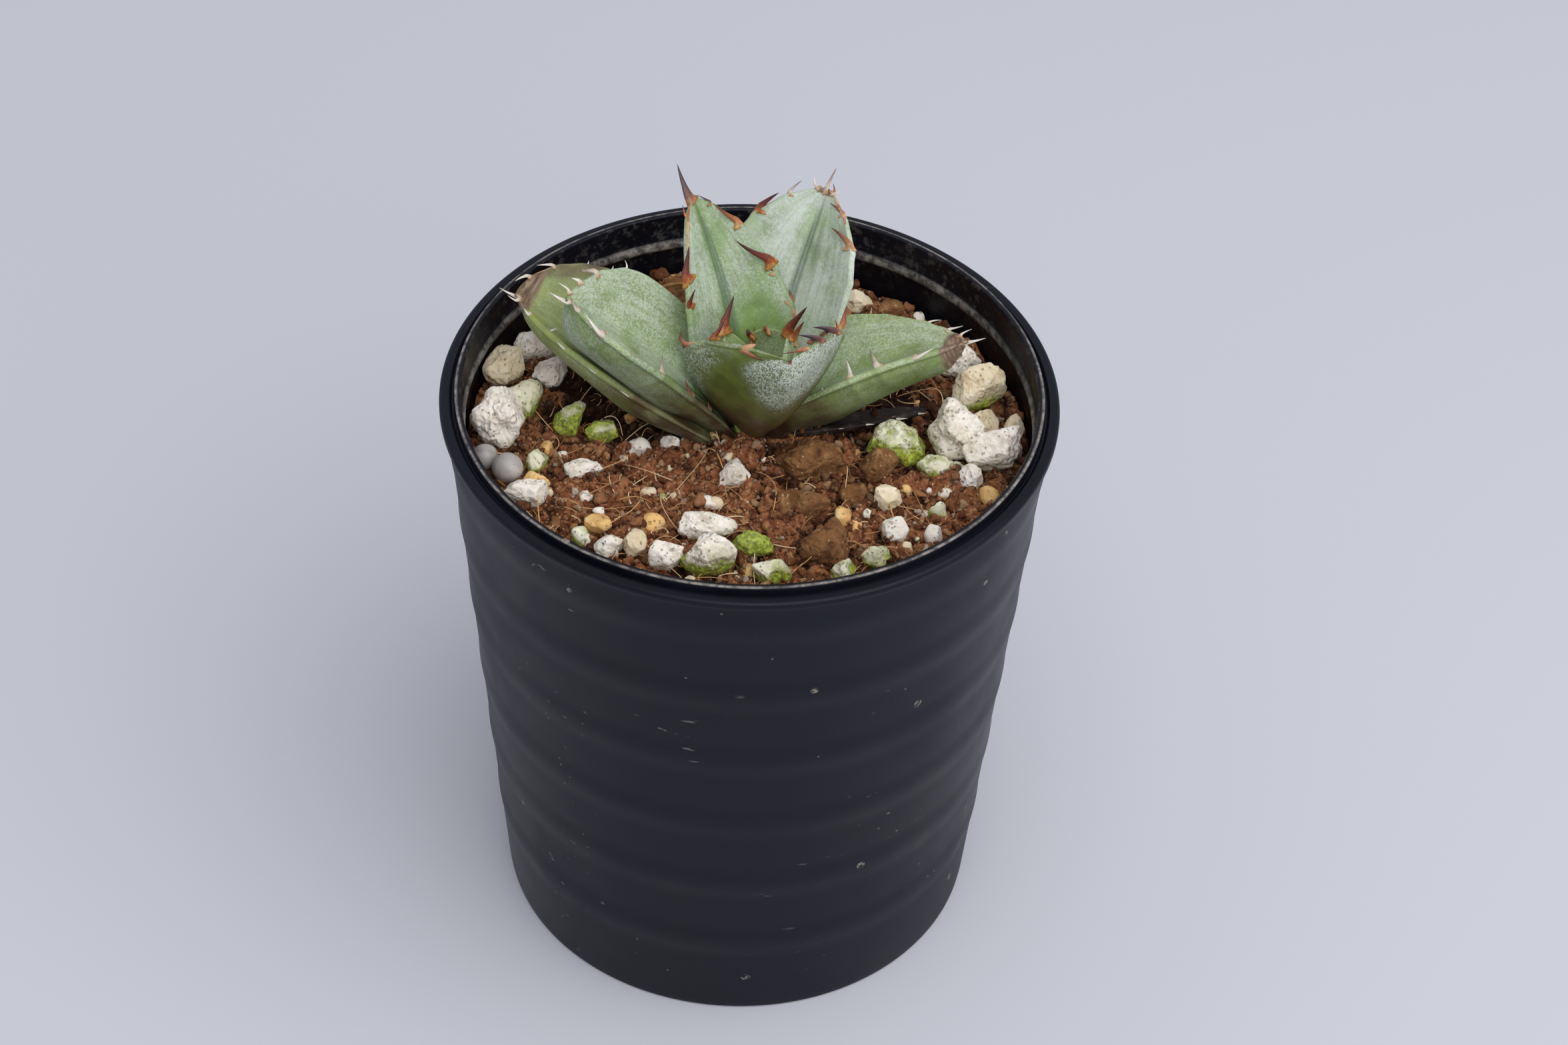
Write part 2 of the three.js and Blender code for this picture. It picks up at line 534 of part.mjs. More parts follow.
function grow(name, leaf, finish) {
  let body = leafWithTeeth(leaf);
  if (leaf.start) body = seated(body);
  for (const c of cutters) {
    if (near(body.boundingBox(), c.boundingBox())) body = body.subtract(c);
  }
  body = largest(body);
  add(name, body, finish);
  cutters.push(leaf.start ? grown(body) : leafWithTeeth(leaf, ROOM));
}

for (const [name, leaf] of Object.entries(BUD_LEAVES)) grow(name, leaf, 'bud');
for (const [name, leaf] of Object.entries(LEAVES)) grow(name, leaf, 'leaf');
grow('dead_leaf', DEAD_LEAF, 'dead');
grow('dry_scrap', DRY_SCRAP, 'dry');

// The mix fills the pot and is cut clear of the stem, the roots and the leaf bases.
const mixRadius = (z) => insideRadius(z) - MIX_GAP;
let mix = turned([[0, POT.floorTop + GAP], [mixRadius(POT.floorTop), POT.floorTop + GAP],
  [mixRadius(POT.mouthFrom), POT.mouthFrom], [mixRadius(MIX_TOP), MIX_TOP], [0, MIX_TOP]], POT.segments);
for (const c of cutters) mix = mix.subtract(c);
add('potting_mix', largest(mix), 'mix');

const placed = [...cutters];
for (const [kind, list] of Object.entries(STONES)) {
  list.forEach((row, k) => {
    let body = stone(kind, placed.length, row);
    for (const c of placed) {
      if (near(body.boundingBox(), c.boundingBox())) body = body.subtract(c);
    }
    body = largest(body);
    placed.push(grown(body));
    add(`${kind}_${k + 1}`, body, kind);
  });
}

export default part;
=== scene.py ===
# %% [markdown]
# # A young agave in its 90 mm nursery pot
# The construction comes in as a fixed frame: a ribbed pot, potting mix, a stem with roots, six open
# leaves, three bud leaves and a scatter of stones. This lesson gives each of them its real surface.
# Everything is in metres and stays where the frame has it.

# %% Load the fixed frame
import math
from dataclasses import dataclass, replace

import bmesh
import bpy
import numpy as np
from mathutils import Matrix, Vector
from mathutils.bvhtree import BVHTree


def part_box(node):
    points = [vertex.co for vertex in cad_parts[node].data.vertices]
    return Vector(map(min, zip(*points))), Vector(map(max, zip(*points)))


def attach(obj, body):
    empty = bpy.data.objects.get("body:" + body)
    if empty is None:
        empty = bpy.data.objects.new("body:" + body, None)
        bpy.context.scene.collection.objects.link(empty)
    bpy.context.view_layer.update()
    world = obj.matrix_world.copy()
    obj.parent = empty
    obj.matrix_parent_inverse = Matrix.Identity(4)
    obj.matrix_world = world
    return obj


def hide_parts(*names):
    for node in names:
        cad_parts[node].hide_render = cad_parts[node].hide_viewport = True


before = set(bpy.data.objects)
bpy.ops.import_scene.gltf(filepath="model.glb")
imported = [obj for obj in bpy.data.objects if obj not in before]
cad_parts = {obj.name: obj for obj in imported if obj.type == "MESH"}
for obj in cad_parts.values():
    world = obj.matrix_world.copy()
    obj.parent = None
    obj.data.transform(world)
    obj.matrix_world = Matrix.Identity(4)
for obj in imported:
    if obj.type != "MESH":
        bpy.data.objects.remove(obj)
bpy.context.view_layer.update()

MM = 0.001

# %% [markdown]
# ## The camera and the light
# The plant was looked down on from about 42 degrees with a long lens, and the camera leaned a little.
# A camera could be aimed with a constraint, but a matrix built from three plain directions shows what
# a camera is: right, up and back. One wide soft light hangs above the front right of the pot, and the
# pale surroundings fill the shadows.

# %% Camera
CAMERA_PLACE = Vector((0.00568, -0.4012, 0.4336))
CAMERA_AIM = Vector((0.00568, 0.0, 0.06869))
CAMERA_LEAN = math.radians(2.33)
LENS_MM = 83.117


def add_camera():
    """The camera at its place, aimed and leaned, as the view of the scene."""
    forward = (CAMERA_AIM - CAMERA_PLACE).normalized()
    level = forward.cross(Vector((0, 0, 1))).normalized()
    above = level.cross(forward)
    right = math.cos(CAMERA_LEAN) * level + math.sin(CAMERA_LEAN) * above
    up = math.cos(CAMERA_LEAN) * above - math.sin(CAMERA_LEAN) * level
    lens = bpy.data.cameras.new("camera")
    lens.sensor_width = 36
    lens.lens = LENS_MM
    lens.clip_start = 0.01
    camera = bpy.data.objects.new("camera", lens)
    camera.matrix_world = Matrix((right, up, -forward)).transposed().to_4x4()
    camera.location = CAMERA_PLACE
    bpy.context.collection.objects.link(camera)
    bpy.context.scene.camera = camera


add_camera()
print("camera", round((CAMERA_AIM - CAMERA_PLACE).length, 3), "m from the pot's axis")

# %% Light and surroundings
ROOM_TINT = (0.80, 0.81, 0.87)
ROOM_STRENGTH = 0.64


def add_soft_light(name, place, aim, size, power, tint):
    lamp = bpy.data.lights.new(name, "AREA")
    lamp.shape = "DISK"
    lamp.size = size
    lamp.energy = power
    lamp.color = tint
    light = bpy.data.objects.new(name, lamp)
    light.location = place
    light.rotation_euler = (Vector(aim) - Vector(place)).to_track_quat("-Z", "Y").to_euler()
    bpy.context.collection.objects.link(light)


room = bpy.data.worlds.new("room")
room.use_nodes = True
room.node_tree.nodes["Background"].inputs["Color"].default_value = (*ROOM_TINT, 1)
room.node_tree.nodes["Background"].inputs["Strength"].default_value = ROOM_STRENGTH
bpy.context.scene.world = room
bpy.context.scene.view_settings.view_transform = "Standard"
add_soft_light("window", place=(0.34, -0.44, 0.88), aim=(0, 0, 0.06), size=1.45, power=9.2,
               tint=(1.0, 0.985, 0.96))

# %% [markdown]
# ## Gathering a mesh
# Most pieces here are worked out point by point. One small class gathers the points, the faces, which
# finish each face has, and values painted on the points, such as how dry a leaf is there. Shaders
# read those painted values by name. Lengths are gathered in millimetres and turned into metres once.

# %% Parts of a piece
class Parts:
    """The points, faces, finishes and painted values of one piece, gathered part by part."""

    def __init__(self):
        self.points, self.faces, self.finishes, self.paint, self.count = [], [], [], [], 0

    def add(self, points, faces, finish=0, **paint):
        points = np.asarray(points, float).reshape(-1, 3)
        for group in faces if isinstance(faces, list) else [faces]:
            group = np.asarray(group, np.int32)
            self.faces.append(group + self.count)
            self.finishes.append(np.full(len(group), finish, np.int32))
        self.points.append(points)
        self.paint.append({k: np.broadcast_to(v, len(points)) for k, v in paint.items()})
        self.count += len(points)

    def build(self, name, finishes, slot, replaces=()):
        mesh = bpy.data.meshes.new(name)
        points = np.vstack(self.points) * MM
        corners = np.concatenate([f.ravel() for f in self.faces])
        sizes = np.concatenate([np.full(len(f), f.shape[1]) for f in self.faces])
        mesh.vertices.add(len(points))
        mesh.vertices.foreach_set("co", points.ravel())
        mesh.loops.add(len(corners))
        mesh.loops.foreach_set("vertex_index", corners)
        mesh.polygons.add(len(sizes))
        mesh.polygons.foreach_set("loop_start", np.concatenate([[0], np.cumsum(sizes)[:-1]]))
        mesh.polygons.foreach_set("material_index", np.concatenate(self.finishes))
        mesh.update(calc_edges=True)
        mesh.validate()
        mesh.shade_smooth()
        for label in sorted({k for paint in self.paint for k in paint}):
            values = [paint.get(label, np.zeros(len(p))) for paint, p in zip(self.paint, self.points)]
            attribute = mesh.attributes.new(label, "FLOAT", "POINT")
            attribute.data.foreach_set("value", np.concatenate(values).astype(np.float32))
        for material in finishes:
            mesh.materials.append(material)
        return place_piece(bpy.data.objects.new(name, mesh), replaces)


def place_piece(piece, replaces=()):
    """Puts a piece in the scene, attached to the root body, and hides the frame parts that it replaces."""
    bpy.context.collection.objects.link(piece)
    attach(piece, "root")
    if replaces:
        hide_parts(*replaces)
    return piece


# %% Grids, turned shapes and balls
def ring_faces(rings, around):
    """The quads of a skin of rings, each with the same number of points around."""
    start = (np.arange(rings - 1)[:, None] * around + np.arange(around)[None, :]).ravel()
    step = np.tile((np.arange(around) + 1) % around - np.arange(around), rings - 1)
    return np.stack([start, start + step, start + step + around, start + around], -1)


def capped_skin(rings):
    """Points and faces of a skin of rings closed by a fan at each end. rings is (count, around, 3)."""
    count, around = rings.shape[:2]
    points = np.vstack([rings.reshape(-1, 3), rings[0].mean(0), rings[-1].mean(0)])
    turn = np.arange(around)
    after = (turn + 1) % around
    last = (count - 1) * around
    first_fan = np.stack([after, turn, np.full(around, count * around)], -1)
    last_fan = np.stack([last + turn, last + after, np.full(around, count * around + 1)], -1)
    return points, [ring_faces(count, around), first_fan, last_fan]


def unit(vectors):
    """The same directions, each with length 1."""
    return vectors / np.linalg.norm(vectors, axis=-1, keepdims=True)


def tube(path, wide, high, across, up, around):
    """Rings of ellipses along a path, from their half sizes and their directions across and up."""
    spin = np.linspace(0, 2 * np.pi, around, endpoint=False)
    rings = path[:, None] + across[:, None] * (wide[:, None] * np.cos(spin))[..., None]
    return rings + up[:, None] * (high[:, None] * np.sin(spin))[..., None]


def turned(profile, segments):
    """A closed shape turned about Z. The profile's first and last points lie on the axis."""
    profile = np.asarray(profile, float)
    angle = np.linspace(0, 2 * np.pi, segments, endpoint=False)
    middle = profile[1:-1]
    rings = np.stack([middle[:, :1] * np.cos(angle), middle[:, :1] * np.sin(angle),
                      np.repeat(middle[:, 1:], segments, 1)], -1)
    points, faces = capped_skin(rings)
    points[-2:] = [[0, 0, profile[0, 1]], [0, 0, profile[-1, 1]]]
    return points, faces


def ball(level):
    """Points, faces and edges of a round ball of radius 1."""
    shape = bmesh.new()
    bmesh.ops.create_icosphere(shape, subdivisions=level, radius=1)
    points = np.array([v.co for v in shape.verts])
    faces = np.array([[v.index for v in f.verts] for f in shape.faces], np.int32)
    edges = np.array([[v.index for v in e.verts] for e in shape.edges], np.int32)
    shape.free()
    return points, faces, edges


print("a ball of level 3 has", len(ball(3)[0]), "points")

# %% Random bumps that come out the same every time
def corner_value(cell, seed):
    """A scrambled value from -1 to 1 for each cell of a grid. The large numbers do the scrambling."""
    mixed = cell[..., 0] * 73856093 ^ cell[..., 1] * 19349663 ^ cell[..., 2] * 83492791 ^ seed * 2654435
    mixed = (mixed ^ (mixed >> 13)) * 1274126177
    return ((mixed ^ (mixed >> 16)) & 0xFFFF) / 0x7FFF - 1


def bumps(points, size, seed=0, octaves=1):
    """A smooth random value from -1 to 1 at each point, for bumps of that size in millimetres."""
    total, strength, most = 0, 1.0, 0
    for octave in range(octaves):
        place = np.asarray(points, float) / size * 2 ** octave + 31.7 * octave
        cell = np.floor(place).astype(np.int64)
        part = place - cell
        part = part * part * (3 - 2 * part)
        for corner in np.ndindex(2, 2, 2):
            share = np.prod(np.where(corner, part, 1 - part), -1)
            total = total + strength * share * corner_value(cell + np.array(corner), seed + octave)
        most += strength
        strength *= 0.5
    return total / most


def soft(value, low, high):
    """0 below low, 1 above high, and a smooth step between them."""
    t = np.clip((np.asarray(value, float) - low) / (high - low), 0, 1)
    return t * t * (3 - 2 * t)


print("bumps at the origin:", round(float(bumps([[0.5, 0.5, 0.5]], 3)[0]), 3))

# %% [markdown]
# ## Wiring shaders with plain words
# A material is a small graph. A helper that adds a node and plugs numbers, colours or other nodes
# into it keeps each finish readable as a list of steps. Colours are given as a painter reads them off
# a screen, 0 to 255, and turned into light values once.

# %% Wiring
def paint(red, green, blue, share=1.0):
    """A screen colour as light values, dimmed to a share of its light."""
    values = np.array([red, green, blue]) / 255
    light = np.where(values <= 0.04045, values / 12.92, ((values + 0.055) / 1.055) ** 2.4)
    return tuple(float(v) for v in share * light)


class Wiring:
    """Short ways to add nodes to one tree. A value may be a number, a screen colour or a node's output."""

    def __init__(self, tree):
        self.tree = tree

    def plug(self, socket, value):
        if isinstance(value, bpy.types.NodeSocket):
            self.tree.links.new(value, socket)
        elif socket.type == "RGBA":
            socket.default_value = (*paint(*value), 1)
        else:
            socket.default_value = value

    def node(self, kind, inputs=None, **settings):
        made = self.tree.nodes.new("ShaderNode" + kind)
        for key, value in settings.items():
            setattr(made, key, value)
        for socket, value in (inputs or {}).items():
            self.plug(made.inputs[socket], value)
        return made

    def calc(self, operation, *values):
        """The values taken together from left to right. A root or an absolute takes only one."""
        total = values[0]
        for value in values[1:] or [0.0]:
            total = self.node("Math", {0: total, 1: value}, operation=operation).outputs[0]
        return total

    def times(self, *values):
        return self.calc("MULTIPLY", *values)

    def plus(self, *values):
        return self.calc("ADD", *values)

    def minus(self, value, less):
        return self.calc("SUBTRACT", value, less)

    def most(self, *values):
        return self.calc("MAXIMUM", *values)

    def blend(self, share, a, b):
        return self.node("Mix", {0: share, 6: a, 7: b}, data_type="RGBA").outputs[2]

    def step(self, value, low, high, start=0.0, end=1.0):
        return self.node("MapRange", {"Value": value, "From Min": low, "From Max": high,
                                      "To Min": start, "To Max": end},
                         interpolation_type="SMOOTHSTEP").outputs[0]

    def painted(self, label):
        return self.node("Attribute", attribute_name=label).outputs["Fac"]

    def place(self):
        return self.node("TexCoord").outputs["Object"]

    def noise(self, scale, detail=2.0, warp=0.0, vector=None, rough=0.5):
        return self.node("TexNoise", {"Vector": vector or self.place(), "Scale": scale, "Detail": detail,
                                      "Distortion": warp, "Roughness": rough}).outputs["Fac"]

    def cells(self, scale, channel):
        """Scattered cells: how far the nearest one's middle is, and a random value that it has."""
        made = self.node("TexVoronoi", {"Vector": self.place(), "Scale": scale})
        own = self.node("SeparateColor", {"Color": made.outputs["Color"]})
        return made.outputs["Distance"], own.outputs[channel]

    def drawn_out(self, across, lengthways, third=0.0):
        """Noise drawn out along or across a leaf, by the two painted places side and along."""
        way = self.node("CombineXYZ", {"X": self.times(self.painted("side"), across),
                                       "Y": self.times(self.painted("along"), lengthways), "Z": third})
        return self.noise(1.0, 3, vector=way.outputs[0])

    def ramp(self, value, stops):
        made = self.node("ValToRGB", {"Fac": value})
        band = made.color_ramp.elements
        while len(band) < len(stops):
            band.new(0.5)
        for element, (position, colour) in zip(band, stops):
            element.position = position
            element.color = (*paint(*colour), 1)
        return made.outputs["Color"]

    def effect(self, group, **values):
        made = self.node("Group", node_tree=group)
        for label, value in values.items():
            self.plug(made.inputs[label.capitalize()], value)
        return {s.name: s for s in made.outputs}


print("middle grey as light:", [round(v, 3) for v in paint(128, 128, 128)])


# %% A finish and an effect
class Finish(Wiring):
    """A new material: its wiring, and its shader with the plain values set on its sockets at once."""

    def __init__(self, name, **plain):
        self.material = bpy.data.materials.new(name)
        self.material.use_nodes = True
        super().__init__(self.material.node_tree)
        self.shader = self.tree.nodes["Principled BSDF"]
        for label, value in plain.items():
            self.plug(self.shader.inputs[label.replace("_", " ").title().replace("Ior", "IOR")], value)

    def done(self, colour, roughness, relief=None, strength=1.0, depth=0.0):
        """Wires the colour, the roughness and a relief of that depth, and gives the material."""
        self.plug(self.shader.inputs["Base Color"], colour)
        self.plug(self.shader.inputs["Roughness"], roughness)
        if relief:
            bump = self.node("Bump", {"Height": relief, "Strength": strength, "Distance": depth})
            self.plug(self.shader.inputs["Normal"], bump.outputs[0])
        return self.material


def effect(name, inputs, outputs):
    """A node group with named sockets: the group, its wiring, its inputs and its outputs."""
    group = bpy.data.node_groups.new(name, "ShaderNodeTree")
    for label, default in inputs.items():
        colour = hasattr(default, "__len__")
        kind = "NodeSocketColor" if colour else "NodeSocketFloat"
        socket = group.interface.new_socket(label, in_out="INPUT", socket_type=kind)
        socket.default_value = (*default, 1) if colour else default
    for label, kind in outputs.items():
        group.interface.new_socket(label, in_out="OUTPUT", socket_type="NodeSocket" + kind)
    given = group.nodes.new("NodeGroupInput").outputs
    result = group.nodes.new("NodeGroupOutput").inputs
    return group, Wiring(group), given, result


# %% [markdown]
# ## Effects that several finishes share
# Stones, crumbs, clods and leaves all vary in tone, and many carry specks or pits. Each such effect is
# a node group with its own inputs, made once. It could be copied into each material, but then a
# change would have to be made ten times.

# %% Mottle: three tones that drift into each other
def make_mottle():
    group, w, given, result = effect(
        "mottle", {"Scale": 300.0, "Dark": (0.1,) * 3, "Middle": (0.3,) * 3, "Light": (0.6,) * 3},
        {"Color": "Color", "Value": "Float"})
    value = w.noise(given["Scale"], 5, rough=0.62)
    dark = w.blend(w.step(value, 0.3, 0.5), given["Dark"], given["Middle"])
    w.plug(result["Color"], w.blend(w.step(value, 0.5, 0.72), dark, given["Light"]))
    w.plug(result["Value"], value)
    return group


# %% Speckle: small separate spots
def make_speckle():
    group, w, given, result = effect("speckle", {"Scale": 900.0, "Size": 0.18, "Share": 0.3},
                                     {"Mask": "Float"})
    away, chance = w.cells(given["Scale"], "Red")
    inside = w.calc("LESS_THAN", away, given["Size"])
    w.plug(result["Mask"], w.times(inside, w.calc("LESS_THAN", chance, given["Share"])))
    return group


# %% Pitting: round pores as in pumice; the stone finishes paint shade on their floors
PORES = ((1.0, 0.34), (0.45, 0.26))     # for fine and coarse pores: factor on the scale, and width


def make_pitting():
    group, w, given, result = effect("pitting", {"Scale": 1100.0, "Share": 0.5},
                                     {"Pit": "Float", "Height": "Float"})
    total = 0.0
    for factor, width in PORES:
        away, chance = w.cells(w.times(given["Scale"], factor), "Green")
        deep = w.step(away, width, width * 0.45)
        total = w.most(total, w.times(deep, w.calc("LESS_THAN", chance, given["Share"])))
    w.plug(result["Pit"], total)
    grain = w.noise(w.times(given["Scale"], 1.6), 4, rough=0.7)
    w.plug(result["Height"], w.minus(w.times(grain, 0.5), total))
    return group


# %% Algae: a green film that creeps up from the damp side of a stone
def make_algae():
    group, w, given, result = effect("algae", {"Damp": 0.5, "Amount": 0.5},
                                     {"Mask": "Float", "Color": "Color"})
    wet = w.plus(w.times(given["Damp"], 0.55), w.times(w.noise(420.0, 4, rough=0.6), 0.9))
    edge, spread = w.minus(1.20, w.times(given["Amount"], 0.75)), 0.13
    w.plug(result["Mask"], w.step(wet, w.minus(edge, spread), w.plus(edge, spread)))
    tone = w.noise(1500.0, 4, rough=0.7)
    green = w.ramp(tone, [(0.3, (72, 86, 8)), (0.5, (136, 154, 20)), (0.68, (196, 208, 66))])
    w.plug(result["Color"], green)
    return group


# %% Wax bloom: the pale coat of a leaf, in fine worm-like lines and soft clouds
def make_wax_bloom():
    group, w, given, result = effect("wax_bloom", {"Amount": 0.5, "Scale": 3300.0, "Least": 0.35},
                                     {"Film": "Float", "Worms": "Float"})
    clouds = w.noise(150.0, 4, rough=0.58)
    here = w.times(given["Amount"], w.step(clouds, 0.30, 0.60, given["Least"], 1.0))
    edge, spread = w.minus(0.62, w.times(here, 0.17)), 0.035
    worms = w.step(w.noise(given["Scale"], 1.0, warp=0.8), w.minus(edge, spread), w.plus(edge, spread))
    w.plug(result["Worms"], w.times(worms, w.step(here, 0.1, 0.6)))
    grain = w.noise(1500.0, 4, rough=0.75)
    w.plug(result["Film"], w.times(here, w.step(grain, 0.3, 0.7, 0.55, 1.0)))
    return group


MOTTLE, SPECKLE, PITTING = make_mottle(), make_speckle(), make_pitting()
ALGAE, WAX_BLOOM = make_algae(), make_wax_bloom()
print("effects:", [g.name for g in bpy.data.node_groups])


def specks(w, scale, size, share):
    """Where small spots are. More scale makes them finer, and more share makes them more."""
    return w.effect(SPECKLE, scale=scale, size=size, share=share)["Mask"]

# %% [markdown]
# ## The pot
# The real pot is injection-moulded black plastic: a thin wall with six soft ribs, a rolled flange
# with a thin lip inside it, and a raised floor on a foot ring with four notches and seven holes. The
# frame has the same sizes in 40 flat sides. A smooth pot could be made by subdividing that, but it
# would round the lip away, so the profile is drawn again with its small radii and turned in 320 steps.

# %% Pot sizes, in millimetres
POT = dict(
    foot_radius=36.7, body_top_radius=44.1, body_top=93.2, foot_wall=1.8, floor_under=2.4, floor_top=4.0,
    floor_inner=34.9, mouth=41.8, ribs=6, first_rib=16.6, rib_pitch=14.25, rib_half=4.0, rib_stand=0.2,
    lip_top=95.2, lip_outer=42.8, flange=45.0, flange_top=94.2, drain_circle=21, drain_radius=3.5,
    notches=4, notch_turn=-74, notch_width=15, notch_height=1.7, inner_ridge=89.6,
)


def outer_radius(z):
    return np.interp(z, [0, POT["body_top"]], [POT["foot_radius"], POT["body_top_radius"]])


def inner_radius(z):
    return np.interp(z, [POT["floor_top"], 80], [POT["floor_inner"], POT["mouth"]])


def rounded(x, z, radius, start, end, steps=5):
    """Points on an arc round a middle, from one angle to another in degrees."""
    angle = np.radians(np.linspace(start, end, steps))
    return [[x + radius * np.cos(a), z + radius * np.sin(a)] for a in angle]


def pot_profile():
    """The pot's section from the middle of its floor's underside, out, up and back in to the floor's top."""
    foot, inner, floor = POT["foot_radius"], POT["foot_radius"] - POT["foot_wall"], POT["floor_under"]
    line = [[0, floor], [inner - 0.5, floor], [inner - 0.1, floor - 0.4], [inner, 0.3]]
    line += rounded(inner + 0.3, 0.3, 0.3, 180, 270, 4)
    line += rounded(foot - 0.6, 0.6, 0.6, 270, 360, 6)
    for z in np.arange(1.4, POT["body_top"] - 0.7, 0.55):
        nearest = round((z - POT["first_rib"]) / POT["rib_pitch"])
        nearest = min(max(nearest, 0), POT["ribs"] - 1)
        away = (z - POT["first_rib"] - nearest * POT["rib_pitch"]) / POT["rib_half"]
        stand = POT["rib_stand"] * (0.5 + 0.5 * np.cos(np.pi * away)) if abs(away) < 1 else 0
        line.append([outer_radius(z) + stand, z])
    under, rim, top = POT["body_top"] - 0.25, POT["flange"], POT["flange_top"]
    line += rounded(outer_radius(under) + 0.3, under - 0.3, 0.3, 180, 90, 4)
    line += rounded(rim - 0.25, under + 0.25, 0.25, 270, 360, 4)
    line += rounded(rim - 0.6, top - 0.6, 0.6, 0, 90, 7)
    lip, high, mouth, ridge = POT["lip_outer"], POT["lip_top"], POT["mouth"], POT["inner_ridge"]
    line += [[lip + 0.75, top - 0.02], [lip + 0.35, top - 0.4], [lip + 0.08, top - 0.4], [lip, top - 0.1]]
    line += rounded(lip - 0.3, high - 0.3, 0.3, 0, 90)
    line += rounded(mouth + 0.3, high - 0.3, 0.3, 90, 180)
    line += [[mouth, top], [mouth - 0.02, ridge + 1.0]]
    line += [[mouth - 0.5 * np.sin(t), ridge + 0.9 * np.cos(t)] for t in np.linspace(0.15, np.pi - 0.15, 9)]
    line += [[inner_radius(z) - 0.05, z] for z in (88.3, 84, 80, 60, 40, 20, 8)]
    line += rounded(inner_radius(5) - 1, POT["floor_top"] + 1, 1, 0, -90, 4)
    return line + [[0, POT["floor_top"]]]


print("points in the pot's section:", len(pot_profile()))


# %% Cut the drain holes and foot notches
def cut_from(piece, cutters):
    """Takes the cutters' shape out of a piece, and removes the cutters' object."""
    cut = piece.modifiers.new("cut", "BOOLEAN")
    cut.object = cutters
    cut.solver = "EXACT"
    seen = bpy.context.evaluated_depsgraph_get()
    new = bpy.data.meshes.new_from_object(piece.evaluated_get(seen))
    piece.modifiers.clear()
    piece.data = new
    bpy.data.objects.remove(cutters)


def pot_cutters():
    shapes = Parts()
    hole, faces = turned([[0, -4], [POT["drain_radius"], -4], [POT["drain_radius"], 8], [0, 8]], 40)
    shapes.add(hole, faces)
    for turn in np.radians(np.arange(6) * 60):
        shapes.add(hole + [POT["drain_circle"] * np.cos(turn), POT["drain_circle"] * np.sin(turn), 0], faces)
    half, high, depth, soft_edge = POT["notch_width"] / 2, POT["notch_height"], 4.0, 0.6
    arch = [[-half, -1], [half, -1], [half, high - 0.5]]
    arch += rounded(half - soft_edge, high - soft_edge, soft_edge, 10, 90, 4)
    arch += rounded(-half + soft_edge, high - soft_edge, soft_edge, 90, 170, 4) + [[-half, high - 0.5]]
    for turn in np.radians(POT["notch_turn"] + np.arange(POT["notches"]) * 360 / POT["notches"]):
        away = np.array([np.cos(turn), np.sin(turn), 0])
        beside = np.array([-np.sin(turn), np.cos(turn), 0])
        rings = np.array([[away * (POT["foot_radius"] - 1 + d) + beside * a + np.array([0, 0, b])
                           for a, b in arch] for d in (-depth, depth)])
        shapes.add(*capped_skin(rings[:, ::-1]))
    return shapes.build("cutters", [], "pot")


# %% [markdown]
# ### Black nursery plastic
# Recycled black polypropylene is not quite black and only half matt: it shows a soft sheen on the
# ribs, grey where the lip has been rubbed, and hard-water chalk inside the mouth where the pot has
# been watered. A few dust specks and hair scratches tell its size. The chalk is placed by height
# and by distance from the axis, so that it keeps to the mouth.

# %% Pot plastic
# Where the chalk lies, in metres: heights, distances from the axis, and for the ridge how far a place
# is above or below it. Each pair leads from no chalk to full chalk.
LIP_HEIGHT, LIP_REACH = (0.09500, 0.09518), (0.0422, 0.0426)
RIDGE_HEIGHT, RIDGE_FADE, RIDGE_REACH = 0.0897, (0.0011, 0.0003), (0.0420, 0.0416)
WALL_HEIGHT, WALL_REACH = (0.0840, 0.0890), (0.0421, 0.0419)


def pot_chalk(w):
    """How chalky each place is: the lip's top, the ridge inside it and a faint haze on the inner wall."""
    x, y, z = w.node("SeparateXYZ", {"Vector": w.place()}).outputs
    away = w.calc("SQRT", w.plus(w.times(x, x), w.times(y, y)))
    lip = w.times(w.step(z, *LIP_HEIGHT), w.step(away, *LIP_REACH))
    from_ridge = w.calc("ABSOLUTE", w.minus(z, RIDGE_HEIGHT))
    ridge = w.times(w.step(from_ridge, *RIDGE_FADE), w.step(away, *RIDGE_REACH))
    inside = w.times(w.step(away, *WALL_REACH), w.step(z, *WALL_HEIGHT, 0.0, 0.10))
    rubbed = w.noise(700.0, 5, rough=0.7)
    chalk = w.most(w.times(lip, w.step(rubbed, 0.36, 0.62, 0.2, 0.8)),
                   w.times(ridge, w.step(rubbed, 0.4, 0.6, 0.2, 0.8)),
                   w.times(inside, w.step(rubbed, 0.5, 0.62)))
    return w.times(chalk, w.step(w.noise(95.0, 3), 0.32, 0.58, 0.35, 1.0))


def pot_marks(w):
    """Fine dust, a few larger specks with ragged edges, and hair scratches in patches."""
    dust = specks(w, 420.0, 0.08, 0.06)
    dots = w.times(specks(w, 120.0, 0.085, 0.5), w.step(w.noise(1500.0, 4, rough=0.7), 0.46, 0.54))
    stretched = w.node("Mapping", {"Vector": w.place(), "Rotation": (0.4, 0.7, 0.5),
                                   "Scale": (0.12, 1.0, 1.0)})
    hairs = w.noise(900.0, 3, vector=stretched.outputs[0])
    scratch = w.times(w.step(hairs, 0.68, 0.73), w.step(w.noise(60.0, 2), 0.54, 0.64))
    return w.most(w.times(dust, 0.5), dots, w.times(scratch, 0.6))


